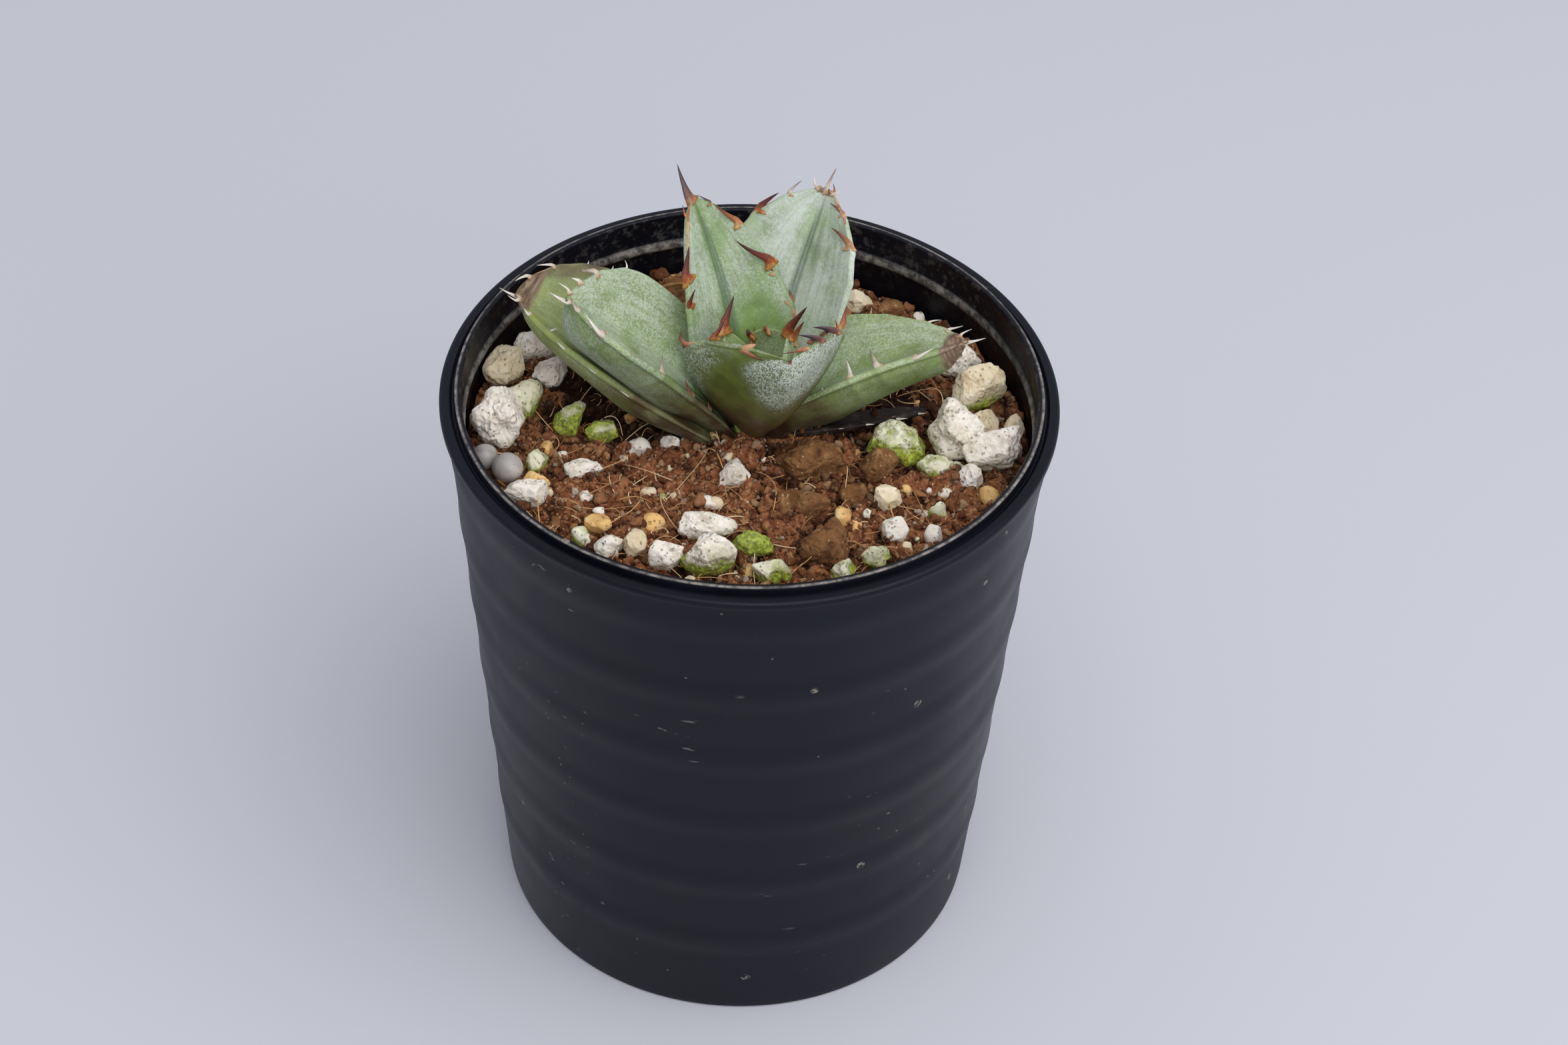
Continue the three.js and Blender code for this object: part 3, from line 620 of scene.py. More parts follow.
def pot_plastic():
    w = Finish("pot_plastic", specular_ior_level=0.24)
    w.shader.inputs["Specular Tint"].default_value = (0.86, 0.89, 1.0, 1.0)
    haze, fine = w.noise(38.0, 4, rough=0.6), w.noise(2600.0, 3)
    chalk, marks = pot_chalk(w), pot_marks(w)
    body = w.blend(w.step(haze, 0.35, 0.7), (8, 10, 17), (15, 16, 26))
    body = w.blend(w.step(fine, 0.45, 0.8, 0.0, 0.1), body, (46, 46, 54))
    body = w.blend(w.times(marks, 0.62), body, (158, 152, 140))
    dull = w.plus(w.step(haze, 0.3, 0.7, 0.36, 0.5), w.times(w.most(chalk, marks), 0.35))
    relief = w.plus(w.times(fine, 0.4), chalk)
    return w.done(w.blend(chalk, body, (176, 170, 162)), dull, relief, 0.12, 0.00006)


def add_pot():
    shape = Parts()
    shape.add(*turned(pot_profile(), 320))
    piece = shape.build("pot_shell", [pot_plastic()], "pot", ["pot"])
    cut_from(piece, pot_cutters())
    piece.data.set_sharp_from_angle(angle=math.radians(40))
    return piece


pot_piece = add_pot()
print("pot:", len(pot_piece.data.polygons), "faces")

# %% [markdown]
# ## The leaves
# An agave leaf is a thick boat: its two halves stand up from a soft crease, its back is swollen, and
# its edge carries horny teeth on small swellings. It could be sculpted, but a leaf follows a rule, so
# each is a few numbers: where it leaves the stem, how it turns and rises, how wide, folded and thick
# it is. The frame's leaves use the same rule in large flats. These lie where those do and have rounder
# edges. Three of them, left front, left back and right, are also a little fuller, with a thinner base.

# %% Leaf numbers, in millimetres and degrees
@dataclass
class Leaf:
    """A leaf's shape. A pair holds the value at the base and the one at the tip."""
    turn: float                 # which way it leaves the stem, in degrees round Z
    length: float
    half: float                 # half its greatest width
    rise: tuple                 # degrees above level
    fold: tuple                 # how steeply its two halves stand up from the crease, in degrees
    widest: float               # where it is widest, as a share of its length
    point: tuple                # two powers that shape how it narrows to its tip
    thick: tuple
    swing: float = 0            # how much its heading changes up to the tip
    roll: tuple = (0, 0)
    cup: tuple = (0.05, 0)      # how much its edges curl up besides the fold
    base: float = 0.6           # its width at the stem, as a share of the greatest
    height: float = 87          # where its base stands
    root: float = 3             # how far its base is from the axis
    start: tuple = ()           # where its base is, if it doesn't grow from the stem
    neck: tuple = (1.0, 1.0)    # its thickness at the base as a share, and up to where it is thinner
    teeth: tuple = ()
    horn: tuple = ()            # horny strips: side, start and end along the leaf, radius


# Teeth: side (1 right edge seen from the stem, -1 left, 0 end spine), place along the leaf, length,
# lean towards the tip, lift, curl, girth and kind.
LEAVES = {
    "leaf_front": Leaf(
        turn=-71, swing=2, rise=(62, 61), length=28, half=11.5, roll=(-5, -7), fold=(31, 40), cup=(0.22, 0),
        base=0.45, widest=0.55, point=(2, 0.8), thick=(4, 1.5), height=88.3, neck=(0.2, 0.5),
        teeth=[(1, 0.56, 1.9, 68, 30, 15, 0.5, "plum"), (1, 0.64, 2.5, 60, 50, 150, 1.3, "brown"),
               (1, 0.78, 4.2, 170, 42, -35, 1.15, "young"), (1, 0.9, 3.7, 165, -35, 25, 1.3, "brown"),
               (-1, 0.96, 4.3, 165, -10, 40, 0.8, "brown"), (-1, 0.9, 4.0, 160, 5, 30, 1.2, "plum"),
               (-1, 0.8, 3.9, 160, 5, 45, 1.4, "plum"), (-1, 0.72, 3.8, 84, 60, -20, 1.1, "orange"),
               (-1, 0.76, 1.9, 125, 45, 10, 0.6, "orange"), (0, 1, 1.2, 0, 0, 0, 0.8, "brown")]),
    "leaf_back_left": Leaf(
        turn=106, swing=24, rise=(67, 47), length=33.5, half=9, roll=(11, 5), fold=(28, 21), base=0.7,
        widest=0.3, point=(1.9, 0.8), thick=(5, 1.5),
        teeth=[(-1, 0.92, 2.1, 108, 0, 0, 0.6, "orange"), (-1, 0.66, 5.5, 118, 15, 0, 1.1, "young"),
               (-1, 0.55, 3.3, 125, 25, 10, 0.9, "young"), (1, 0.93, 2.7, 140, 0, 0, 0.6, "plum"),
               (1, 0.8, 6.2, 140, 5, -20, 0.75, "orange"), (1, 0.61, 8.4, 148, 8, -25, 0.95, "young"),
               (1, 0.57, 1.6, 140, 5, 30, 1.1, "orange"), (1, 0.44, 2.4, 100, 0, 20, 1.0, "orange"),
               (0, 1, 5.6, 0, 0, 12, 1.0, "plum")],
        horn=[(-1, 0.66, 0.985, 0.34), (1, 0.72, 0.84, 0.28), (1, 0.28, 0.46, 0.38)]),
    "leaf_back_right": Leaf(
        turn=72, swing=-13, rise=(53, 49), length=35, half=10.8, roll=(-10, -10), fold=(15, 18), widest=0.6,
        point=(2.1, 0.8), thick=(5, 1.5),
        teeth=[(-1, 0.8, 4.7, 135, 0, 15, 1.0, "young"), (-1, 0.91, 3.2, 130, 0, 10, 0.7, "greyed"),
               (-1, 0.62, 2.0, 90, 0, 0, 0.9, "young"), (1, 0.91, 3.7, 165, 0, 20, 0.7, "brown"),
               (1, 0.985, 1.7, 130, 0, 30, 0.6, "brown"), (1, 0.79, 5.0, 160, 5, 25, 0.9, "brown"),
               (1, 0.66, 2.6, 135, 0, 30, 1.0, "orange"), (1, 0.5, 2.5, 130, 0, 20, 0.9, "young"),
               (-1, 0.99, 2.2, 60, 0, 30, 0.6, "ivory"), (1, 0.99, 1.6, 70, 10, 60, 0.6, "ivory"),
               (0, 1, 3.8, 0, 0, 8, 0.7, "greyed")],
        horn=[(1, 0.62, 0.7, 0.32), (1, 0.86, 0.985, 0.3), (-1, 0.76, 0.86, 0.28)]),
    "leaf_left_front": Leaf(
        turn=172, swing=20, rise=(52, 34), length=32.5, half=8.5, roll=(0, -14), fold=(25, 27), widest=0.65,
        point=(2, 0.9), thick=(9.0, 5.6), height=88.5, neck=(0.4, 0.4),
        teeth=[(1, 0.94, 1.9, 105, 0, 20, 1.0, "ivory"), (1, 0.87, 4.0, 128, 0, 15, 0.8, "greyed"),
               (1, 0.77, 2.0, 0, 5, 110, 0.7, "ivory"), (-1, 0.95, 2.5, 140, 10, 10, 0.8, "greyed"),
               (-1, 0.985, 1.9, 100, 0, 15, 0.6, "ivory"), (-1, 0.84, 4.8, 125, 10, 10, 0.75, "ivory"),
               (-1, 0.69, 1.3, 125, 10, 0, 1.1, "ivory"), (-1, 0.52, 3.6, 168, 10, -70, 0.9, "greyed"),
               (-1, 0.31, 3.2, 138, 8, 10, 0.9, "brown"), (-1, 0.19, 2.0, 155, 8, 10, 0.8, "brown"),
               (1, 0.985, 2.4, 95, 8, 10, 0.6, "ivory"), (0, 1, 3.0, 5, 0, 10, 0.8, "ivory")]),
    "leaf_right": Leaf(
        turn=23, swing=-33, rise=(24, 21), length=31.5, half=9, roll=(-8, -9), fold=(33, 23), widest=0.4,
        point=(1.6, 0.9), thick=(7, 3), height=89.5, neck=(0.7, 0.3),
        teeth=[(1, 0.76, 4.0, 112, 12, -25, 0.8, "ivory"), (1, 0.6, 4.0, 190, 22, -10, 0.95, "greyed"),
               (1, 0.45, 3.8, 178, 18, -60, 0.9, "ivory"), (1, 0.28, 1.2, 165, 8, 40, 0.8, "ivory"),
               (1, 0.12, 1.1, 100, 5, 0, 0.8, "ivory"), (-1, 0.63, 1.9, 118, 0, 20, 0.8, "orange"),
               (-1, 0.79, 2.5, 105, 0, 60, 0.6, "ivory"), (-1, 0.88, 2.7, 98, 0, -30, 0.7, "ivory"),
               (-1, 0.95, 2.2, 60, 0, 40, 0.6, "ivory"), (0, 1, 3.0, -20, 0, -20, 0.8, "ivory")]),
    "leaf_left_back": Leaf(
        turn=158, swing=8, rise=(24, 27), length=37.5, half=11.2, roll=(6, 5), fold=(19, 31), widest=0.6,
        point=(2.2, 0.6), thick=(7.6, 2.2), height=85.2, neck=(0.45, 0.45),
        teeth=[(-1, 0.91, 1.6, 120, 10, 20, 0.8, "ivory"), (-1, 0.83, 2.0, -150, 12, 0, 0.7, "ivory"),
               (-1, 0.72, 2.0, 105, 8, 20, 0.8, "ivory"), (-1, 0.56, 2.1, 95, 5, 25, 0.7, "ivory"),
               (-1, 0.4, 2.3, 88, 5, 20, 0.7, "ivory"), (-1, 0.28, 0.8, 90, 5, 0, 0.8, "brown"),
               (1, 0.975, 3.4, 155, -5, 30, 0.6, "ivory"), (1, 0.91, 3.4, 138, -5, 20, 0.6, "ivory"),
               (1, 0.83, 1.8, -20, 8, 80, 0.7, "ivory"), (1, 0.74, 1.8, -20, 8, 80, 0.7, "ivory"),
               (-1, 0.975, 1.9, 100, 0, 30, 0.6, "ivory"), (0, 1, 3.0, -15, 0, 20, 0.7, "ivory")],
        horn=[(1, 0.7, 0.97, 0.24)]),
}

BUD_FLESH = dict(fold=(25, 35), cup=(0.1, 0), thick=(2.4, 1))
BUD_LEAVES = {
    "bud_leaf_front": Leaf(
        turn=28, rise=(86, 72), length=15.4, half=5.6, widest=0.6, point=(2.2, 0.8), height=88, root=2.8,
        teeth=[(-1, 0.9, 3.6, 155, 22, 10, 1.0, "orange"), (-1, 0.76, 4.4, 150, 24, 10, 1.0, "young"),
               (1, 0.72, 2.4, 60, 0, 20, 0.8, "young"), (0, 1, 6.6, 22, 0, 0, 1.25, "young")], **BUD_FLESH),
    "bud_leaf_left": Leaf(
        turn=150, rise=(82, 70), length=17, half=4.2, base=0.8, widest=0.35, point=(1.6, 0.9), root=0.6,
        teeth=[(-1, 0.8, 2.7, 60, 0, 10, 1.0, "young"), (1, 0.7, 3.5, 60, 0, 10, 1.0, "orange"),
               (0, 1, 5.6, 65, 0, 0, 1.35, "young")], **BUD_FLESH),
    "bud_leaf_right": Leaf(
        turn=42, rise=(76, 66), length=13.2, half=4.2, base=0.8, widest=0.35, point=(1.6, 0.9), root=3.6,
        teeth=[(1, 0.7, 2.4, 60, 0, 10, 0.9, "orange"), (-1, 0.7, 2.4, 60, 0, 20, 0.9, "young"),
               (0, 1, 3.9, 10, 0, 10, 1.2, "orange")], **BUD_FLESH),
}

EDGE = 1.15     # a leaf's thickness at its very edge, which is round
CREASE = 0.15   # how softly its two halves meet
print("teeth:", sum(len(leaf.teeth) for leaf in (*LEAVES.values(), *BUD_LEAVES.values())))


# %% The leaf rule
def lerp(pair, s):
    """The value at s between the one at the leaf's base and the one at its tip."""
    return pair[0] + (pair[1] - pair[0]) * s


def heading(leaf, s, lift=0):
    """Unit vectors that point along the leaf at the places s, or that many degrees above that."""
    turn = np.radians(leaf.turn + leaf.swing * s)
    rise = np.radians(lerp(leaf.rise, s) + lift)
    return np.stack([np.cos(rise) * np.cos(turn), np.cos(rise) * np.sin(turn), np.sin(rise)], -1)


def leaf_frame(leaf, s):
    """At each place s along the leaf: its point and the unit vectors along, up and across."""
    s = np.asarray(s, float)
    steps = np.linspace(0, 1, 201)
    path = np.vstack([np.zeros(3), np.cumsum(heading(leaf, (steps[1:] + steps[:-1]) / 2), 0)])
    path *= leaf.length / 200
    turn = math.radians(leaf.turn)
    start = leaf.start or (leaf.root * math.cos(turn), leaf.root * math.sin(turn))
    point = np.stack([np.interp(s, steps, path[:, k]) for k in range(3)], -1) + [*start, leaf.height]
    along, level_up = heading(leaf, s), heading(leaf, s, 90)
    roll = np.radians(lerp(leaf.roll, s))[..., None]
    up = np.cos(roll) * level_up + np.sin(roll) * np.cross(along, level_up)
    return point, along, up, np.cross(along, up)


def half_width(leaf, s, u):
    """Half the leaf's width, with a small swelling under each tooth on that side."""
    s, u = np.broadcast_arrays(np.asarray(s, float), u)
    grow = leaf.base + (1 - leaf.base) * np.sin(np.pi / 2 * np.minimum(s / leaf.widest, 1))
    past = np.clip((s - leaf.widest) / (1 - leaf.widest), 0, 1)
    taper = np.maximum(1 - past ** leaf.point[0], 0) ** leaf.point[1]
    wide = leaf.half * np.where(s < leaf.widest, grow, taper)
    for side, place, length, *_ in leaf.teeth:
        if side and length > 1.5:
            swell = 0.075 * length * np.exp(-((s - place) / 0.022) ** 2)
            wide = wide + swell * soft(u * side, 0.3, 1.0)
    return wide


def upper_height(leaf, s, u):
    """How far the upper face stands above the leaf's middle line."""
    fold = np.tan(np.radians(lerp(leaf.fold, s)))
    return half_width(leaf, s, u) * (fold * (np.hypot(u, CREASE) - CREASE) + lerp(leaf.cup, s) * u * u)


def thickness(leaf, s, u):
    """The leaf's thickness: it thins to the edges, to the tip, and where it is told to at its neck."""
    blunt = np.sqrt(np.maximum(1 - soft(s, 0.78, 1.0) ** 2, 0.02))
    thin, reach = leaf.neck
    blunt = blunt * (thin + (1 - thin) * soft(s, 0.0, reach))
    fleshy = np.maximum(lerp(leaf.thick, s) - 0.5, 0.2)
    return blunt * (min(EDGE, 0.4 + leaf.thick[1]) + fleshy * np.maximum(1 - u * u, 0) ** 0.5)


for name, leaf in LEAVES.items():
    print(name, "ends at", [round(float(v), 1) for v in leaf_frame(leaf, 1.0)[0]], "mm")


# %% [markdown]
# ### A blade as a skin of closed rings
# Each ring runs over the upper face, round one edge, back under the leaf and round the other edge.
# The rings also carry what the shader needs to know: how far along and across the point is, and
# whether it lies underneath. Soft patches, listed per leaf, paint where the wax is thick, rubbed off,
# blushed or dry, as a grower would describe the leaf, and the paint stays with the leaf from any side.
# The blush at the leaf bases is dark enough to be painted shade as well, and the dark lines on the back
# leaves are painted shade in the crease together with darker green lines beside it.

# %% What is painted on each leaf
# Patches: what, face (1 upper, -1 under, 0 both), middle and reach along, middle and reach across, amount.
WAXY_BACK = ("wax", -1, 0.5, 0.9, 0, 2, 0.6)
PATCHES = {
    "leaf_front": [
        ("wax", 1, 0.5, 0.9, 0, 2, 0.5), ("wax", -1, 0.9, 0.44, -0.4, 1.1, 1.0),
        ("wax", -1, 0.5, 0.4, 0.95, 0.25, 0.6), ("rub", -1, 0.5, 0.3, 0.74, 0.16, 0.8),
        ("wax", -1, 0.97, 0.3, 0.3, 0.6, 0.9), ("blush", -1, 0.08, 0.56, -0.1, 1.3, 1.0),
        ("blush", -1, 0.52, 0.14, -0.1, 0.6, 0.6)],
    "leaf_back_left": [
        ("wax", 1, 0.65, 0.6, -0.6, 0.62, 1.0), ("wax", 1, 0.7, 0.5, 0.5, 0.8, 0.7), WAXY_BACK,
        ("vein", 1, 0.62, 0.55, 0.0, 0.13, 1.0), ("rub", 1, 0.3, 0.34, 0.5, 0.45, 0.9)],
    "leaf_back_right": [
        ("wax", 1, 0.7, 0.6, 0, 2, 1.0), WAXY_BACK, ("vein", 1, 0.7, 0.3, 0.05, 0.1, 1.0),
        ("vein", 1, 0.75, 0.2, 0.25, 0.06, 0.6), ("rub", 1, 0.2, 0.22, 0.1, 0.6, 0.6),
        ("dry", 0, 1.0, 0.04, 0, 2, 0.8)],
    "leaf_left_front": [
        ("wax", 1, 0.6, 0.8, 0, 2, 0.9), ("wax", -1, 0.5, 0.9, -0.2, 1.3, 0.9),
        ("rub", -1, 0.55, 0.6, -0.97, 0.2, 0.3), ("rub", 1, 0.55, 0.6, -0.97, 0.12, 0.2),
        ("blush", -1, 0.05, 0.42, 0, 2, 1.0), ("blush", 0, 0.1, 0.42, -1.0, 0.25, 0.8),
        ("print", 1, 0.55, 0.5, 0, 2, 0.7)],
    "leaf_right": [
        ("wax", 1, 0.5, 0.9, -0.1, 2, 0.85), ("wax", -1, 0.5, 0.8, 0.1, 1.4, 0.7),
        ("rub", 1, 0.5, 0.6, 0.95, 0.25, 0.15), ("rub", -1, 0.5, 0.5, 0.8, 0.5, 0.5),
        ("dry", 0, 1.0, 0.17, 0.3, 2, 1.0), ("blush", -1, 0.05, 0.36, 0, 2, 0.9)],
    "leaf_left_back": [
        ("wax", 1, 0.4, 0.8, 0, 2, 0.48), WAXY_BACK, ("blush", 0, 0.1, 0.5, -1.0, 0.35, 0.9),
        ("dry", 0, 1.0, 0.1, 0, 2, 1.0), ("blush", 0, 0.85, 0.35, 0.95, 0.3, 0.9),
        ("rub", 1, 0.6, 0.4, -0.8, 0.4, 0.35), ("blush", -1, 0.05, 0.5, 0, 2, 1.0)],
}
PAINTS = ("wax", "rub", "blush", "dry", "vein", "print")


def paint_patches(patches, s, u, under):
    """The painted values at each point: a soft oval for each patch, the strongest of a kind kept."""
    values = {label: np.zeros(s.shape) for label in PAINTS}
    for label, face, middle, reach, across, spread, amount in patches:
        away = np.hypot((s - middle) / reach, (u - across) / spread)
        here = amount * (1 - soft(away, 0.55, 1.05))
        if face:
            here = here * np.where(under > 0.5, face < 0, face > 0)
        values[label] = np.maximum(values[label], here)
    return values


print("painted patches:", sum(len(patches) for patches in PATCHES.values()))


# %% Blade
OVER, BELOW, ROUND = 45, 33, 5      # points of a ring over, under and round each edge of a leaf
SLICES = 120                        # rings along a leaf, closer together towards its tip
HEEL = 7                            # rings that close the leaf's base towards the stem


def ring_places():
    """u, under (0 upper, 1 underside) and edge (1 where the skin is farthest round) for one ring."""
    over = np.sin(np.linspace(-np.pi / 2, np.pi / 2, OVER))
    below = np.sin(np.linspace(np.pi / 2, -np.pi / 2, BELOW))
    turn = np.linspace(0, np.pi, ROUND + 2)[1:-1]
    u = np.concatenate([over, np.ones(ROUND), below, -np.ones(ROUND)])
    under = np.concatenate([np.zeros(OVER), turn / np.pi, np.ones(BELOW), 1 - turn / np.pi])
    edge = np.concatenate([np.zeros(OVER), np.sin(turn), np.zeros(BELOW), np.sin(turn)])
    return u, under, edge


def blade_points(leaf, s, u, under, edge=0.0):
    """Points of the leaf's skin at the places s, u: under 0 is the upper face and 1 the underside."""
    point, _, up, across = leaf_frame(leaf, s)
    thick = thickness(leaf, s, u)
    high = upper_height(leaf, s, u) - under * thick
    wide = 0.97 * half_width(leaf, s, u) * u + np.sign(u) * edge * 0.5 * thick
    return point + across * wide[..., None] + up * high[..., None]


def wrinkles(points, s, u, painted, seed):
    """How far the skin stands off the plain shape: slow waves, imprints and shrivelled dry parts."""
    arc = np.abs(np.abs(u) - 0.62 * np.sqrt(np.maximum(1 - s ** 2, 0)))
    stamp = painted["print"] * np.exp(-(arc / 0.03) ** 2)
    calm = 0.10 * bumps(points, 4.0, seed, 2) + 0.03 * bumps(points, 1.1, seed + 5)
    dry = painted["dry"] * (0.22 * bumps(points, 1.3, seed + 9, 2) - 0.12)
    return calm + dry - 0.10 * stamp


def add_blade(parts, leaf, patches, seed):
    u, under, edge = ring_places()
    slices = 1 - np.linspace(1, 0, SLICES) ** 1.4
    slices[-1] = 0.997
    s, u = np.broadcast_arrays(slices[:, None], u[None, :])
    under = np.broadcast_to(under[None, :], s.shape)
    painted = paint_patches(patches, s, u, under)
    points = blade_points(leaf, s, u, under, edge[None, :])
    _, _, up, _ = leaf_frame(leaf, slices)
    lift = wrinkles(points, s, u, painted, seed)
    points = points + up[:, None, :] * (lift * (1 - 2 * under))[..., None]
    middle = points[0].mean(0)
    gone = np.linspace(0.97, 0.1, HEEL)[:, None, None]
    heel = middle + gone * (middle * [-0.85, -0.85, 0] - [0, 0, 2.5])
    heel = heel + (points[0] - middle) * np.sqrt(1 - gone ** 2)
    skin, faces = capped_skin(np.concatenate([heel, points]))
    values = {"along": s, "side": u, "under": under, **painted}
    for label, value in values.items():
        value = np.concatenate([np.repeat(value[:1], HEEL, 0), value])
        values[label] = np.concatenate([value.ravel(), [value[0].mean(), value[-1].mean()]])
    parts.add(skin, faces, 0, **values)


print("points round a leaf:", len(ring_places()[0]))


# %% [markdown]
# ### Teeth
# A tooth starts square to the edge, bends towards the tip and ends in a needle; old ones curl over.
# Its section is flat, and young ones have a swollen foot. It is a chain of ellipses along a path whose
# heading turns, so one function makes needles, hooks and curls. A horny strip joins some teeth.

# %% Teeth and horny edges
THORN_RINGS, THORN_SIDES = 18, 12
HORN_RINGS, HORN_SIDES = 40, 10
KINDS = ["young", "orange", "brown", "plum", "ivory", "greyed"]


def tooth(leaf, side, s, length, lean, lift, curl, girth):
    """A curved, flattened spike from the leaf's edge: its rings and how far along each ring is."""
    place = np.array(min(s, 0.985))
    _, along, up, across = leaf_frame(leaf, place)
    out, towards = (along, across) if side == 0 else (across * side, along)
    foot = blade_points(leaf, place, np.array(float(side)), np.array(0.5))
    t = np.linspace(0, 1, THORN_RINGS)
    bend = np.radians(40 * soft(t, 0.0, 0.3) + curl * (t - 0.3) * (t > 0.3))
    arc = np.cumsum(np.cos(bend)[:, None] * out + np.sin(bend)[:, None] * towards, 0)
    arc = arc - arc[0]
    lean, lift = math.radians(lean), math.radians(lift)
    aim = (out * math.cos(lean) + towards * math.sin(lean)) * math.cos(lift) + up * math.sin(lift)
    aim = unit(0.2 * out + 0.8 * aim)
    turn = np.array(Vector(arc[-1]).rotation_difference(Vector(aim)).to_matrix())
    grow = min(length / np.linalg.norm(arc[-1]), 2.2 * length / THORN_RINGS)
    path = foot - 0.5 * out * (1 - soft(t, 0.0, 0.3))[:, None] + (arc @ turn.T) * grow
    way = unit(np.gradient(path, axis=0))
    flat = unit(up - way * (way @ up)[:, None])
    base = girth * min(0.95, 0.36 + length * 0.11)
    half = base * ((1 - t) ** 0.8 * (0.68 + 0.32 * np.exp(-(t / 0.3) ** 2)) + 0.02)
    flare = half * (1 + 0.5 * np.exp(-(t / 0.1) ** 2))
    return tube(path, flare, half * 0.55, np.cross(way, flat), flat, THORN_SIDES), t


def add_teeth(parts, leaf, first_finish):
    for side, s, length, lean, lift, curl, girth, kind in leaf.teeth:
        rings, t = tooth(leaf, side, s, length, lean, lift, curl, girth)
        points, faces = capped_skin(rings)
        reach = np.concatenate([np.repeat(t, THORN_SIDES), [0, 1]])
        parts.add(points, faces, first_finish + KINDS.index(kind), reach=reach)
    for side, start, end, radius in leaf.horn:
        s = np.linspace(start, end, HORN_RINGS)
        edge = blade_points(leaf, s, np.full(HORN_RINGS, float(side)), np.full(HORN_RINGS, 0.35))
        _, _, up, across = leaf_frame(leaf, s)
        thin = radius * np.sin(np.pi * np.linspace(0.03, 0.97, HORN_RINGS)) ** 0.5
        points, faces = capped_skin(tube(edge, thin, thin * 1.2, across, up, HORN_SIDES))
        worn = 0.12 + 0.3 * bumps(points, 1.0, 3)
        parts.add(points, faces, first_finish + KINDS.index("brown"), reach=np.clip(worn, 0, 1))


# %% [markdown]
# ### Leaf skin
# Under the wax the leaf is fresh green; the wax makes it grey, and where the leaf faces the sky the
# coat breaks into worm-like lines. Rubbed places show the green, the base blushes purple-brown and
# old tips dry to paper with rings. The blush also serves as painted shade on the bases, and the very
# base of each leaf turns dark brown as painted shade. One function makes a skin from a leaf's own
# greens, because the older leaves are yellower. Thin leaf edges let light through, so the shader has a
# little scatter.

# %% Leaf skin
def leaf_skin(name, fresh, waxy, worm_share=0.3, least=0.35):
    """A leaf's skin: its greens without and with wax, how white the fine lines are, the thinnest wax."""
    w = Finish(name, subsurface_weight=0.10, subsurface_scale=0.0012, specular_ior_level=0.4)
    w.shader.inputs["Subsurface Radius"].default_value = (0.6, 1.0, 0.3)
    along, under = w.painted("along"), w.painted("under")
    side = w.calc("ABSOLUTE", w.painted("side"))
    streaks, broad, rings = (w.drawn_out(across, lengthways, under)
                             for across, lengthways in ((24.0, 2.2), (6.0, 2.0), (2.0, 60.0)))

    body = w.blend(w.step(w.noise(230.0, 5, rough=0.62), 0.35, 0.62), (*fresh, 0.66), fresh)
    bloom = w.effect(WAX_BLOOM, amount=w.painted("wax"), scale=3300.0, least=least)
    kept = w.minus(1.0, w.times(w.painted("rub"), w.step(w.noise(420.0, 4), 0.3, 0.6, 0.6, 1.0)))
    drawn = w.plus(w.times(broad, 0.55), w.times(streaks, 0.45))
    film = w.times(bloom["Film"], kept, w.step(drawn, 0.38, 0.60, 0.5, 1.0))
    coated = w.blend(film, body, waxy)
    coated = w.blend(w.times(bloom["Worms"], kept, worm_share), coated, (216, 224, 216))

    arch = w.calc("SQRT", w.most(w.minus(1.0, w.times(along, along)), 0.0))
    arc = w.calc("ABSOLUTE", w.minus(side, w.times(arch, 0.62)))
    coated = w.blend(w.times(w.painted("print"), w.step(arc, 0.05, 0.0), 0.45), coated, fresh)
    # Painted shade in the crease, with darker green lines beside it on the back leaves.
    vein = w.times(w.painted("vein"), w.step(streaks, 0.35, 0.6, 0.55, 1.0))
    coated = w.blend(w.times(vein, 0.75), coated, (62, 88, 70))

    # Blush and painted shade: the purple-brown also darkens the leaf bases, where the leaves shade each
    # other.
    blush = w.times(w.painted("blush"), w.step(w.noise(260.0, 4), 0.3, 0.62, 0.4, 0.92))
    coated = w.blend(blush, coated, (82, 56, 44))
    # Painted shade: the very base of each leaf, towards the stem, turns dark soil-brown.
    coated = w.blend(w.step(along, 0.09, 0.03), coated, (58, 40, 28))
    margin = w.times(w.step(side, 0.94, 1.0), w.step(along, 0.2, 0.5),
                     w.step(w.noise(330.0, 3), 0.4, 0.66, 0.0, 0.32))
    coated = w.blend(margin, coated, (166, 182, 126))
    dry = w.times(w.painted("dry"), w.step(w.noise(300.0, 4), 0.22, 0.5, 0.55, 1.0))
    paper = w.ramp(rings, [(0.3, (86, 68, 56)), (0.48, (124, 102, 84)), (0.66, (164, 142, 122))])

    dull = w.most(w.plus(w.times(film, 0.28), 0.42), w.times(dry, 0.85))
    relief = w.plus(w.times(bloom["Worms"], kept, 0.5), w.times(streaks, 0.4),
                    w.times(rings, dry, 1.2), w.times(w.noise(1700.0, 4), 0.6))
    return w.done(w.blend(w.step(dry, 0.3, 0.75), coated, paper), dull, relief, 0.5, 0.0001)


# %% Tooth finishes
THORN_COLOURS = {
    "young": [(0.0, (188, 140, 66)), (0.12, (160, 84, 40)), (0.3, (112, 44, 30)), (0.7, (78, 30, 26)),
              (1.0, (40, 22, 26))],
    "orange": [(0.0, (192, 152, 94)), (0.3, (166, 98, 52)), (0.7, (122, 60, 40)), (1.0, (80, 42, 36))],
    "brown": [(0.0, (204, 164, 126)), (0.3, (164, 108, 78)), (0.7, (120, 72, 56)), (1.0, (84, 50, 44))],
    "plum": [(0.0, (176, 124, 78)), (0.16, (112, 72, 64)), (0.5, (76, 58, 66)), (1.0, (50, 42, 54))],
    "ivory": [(0.0, (178, 134, 98)), (0.14, (214, 200, 182)), (0.6, (232, 228, 218)),
              (1.0, (206, 196, 186))],
    "greyed": [(0.0, (180, 132, 88)), (0.2, (206, 196, 178)), (0.6, (168, 154, 142)), (1.0, (104, 84, 78))],
}


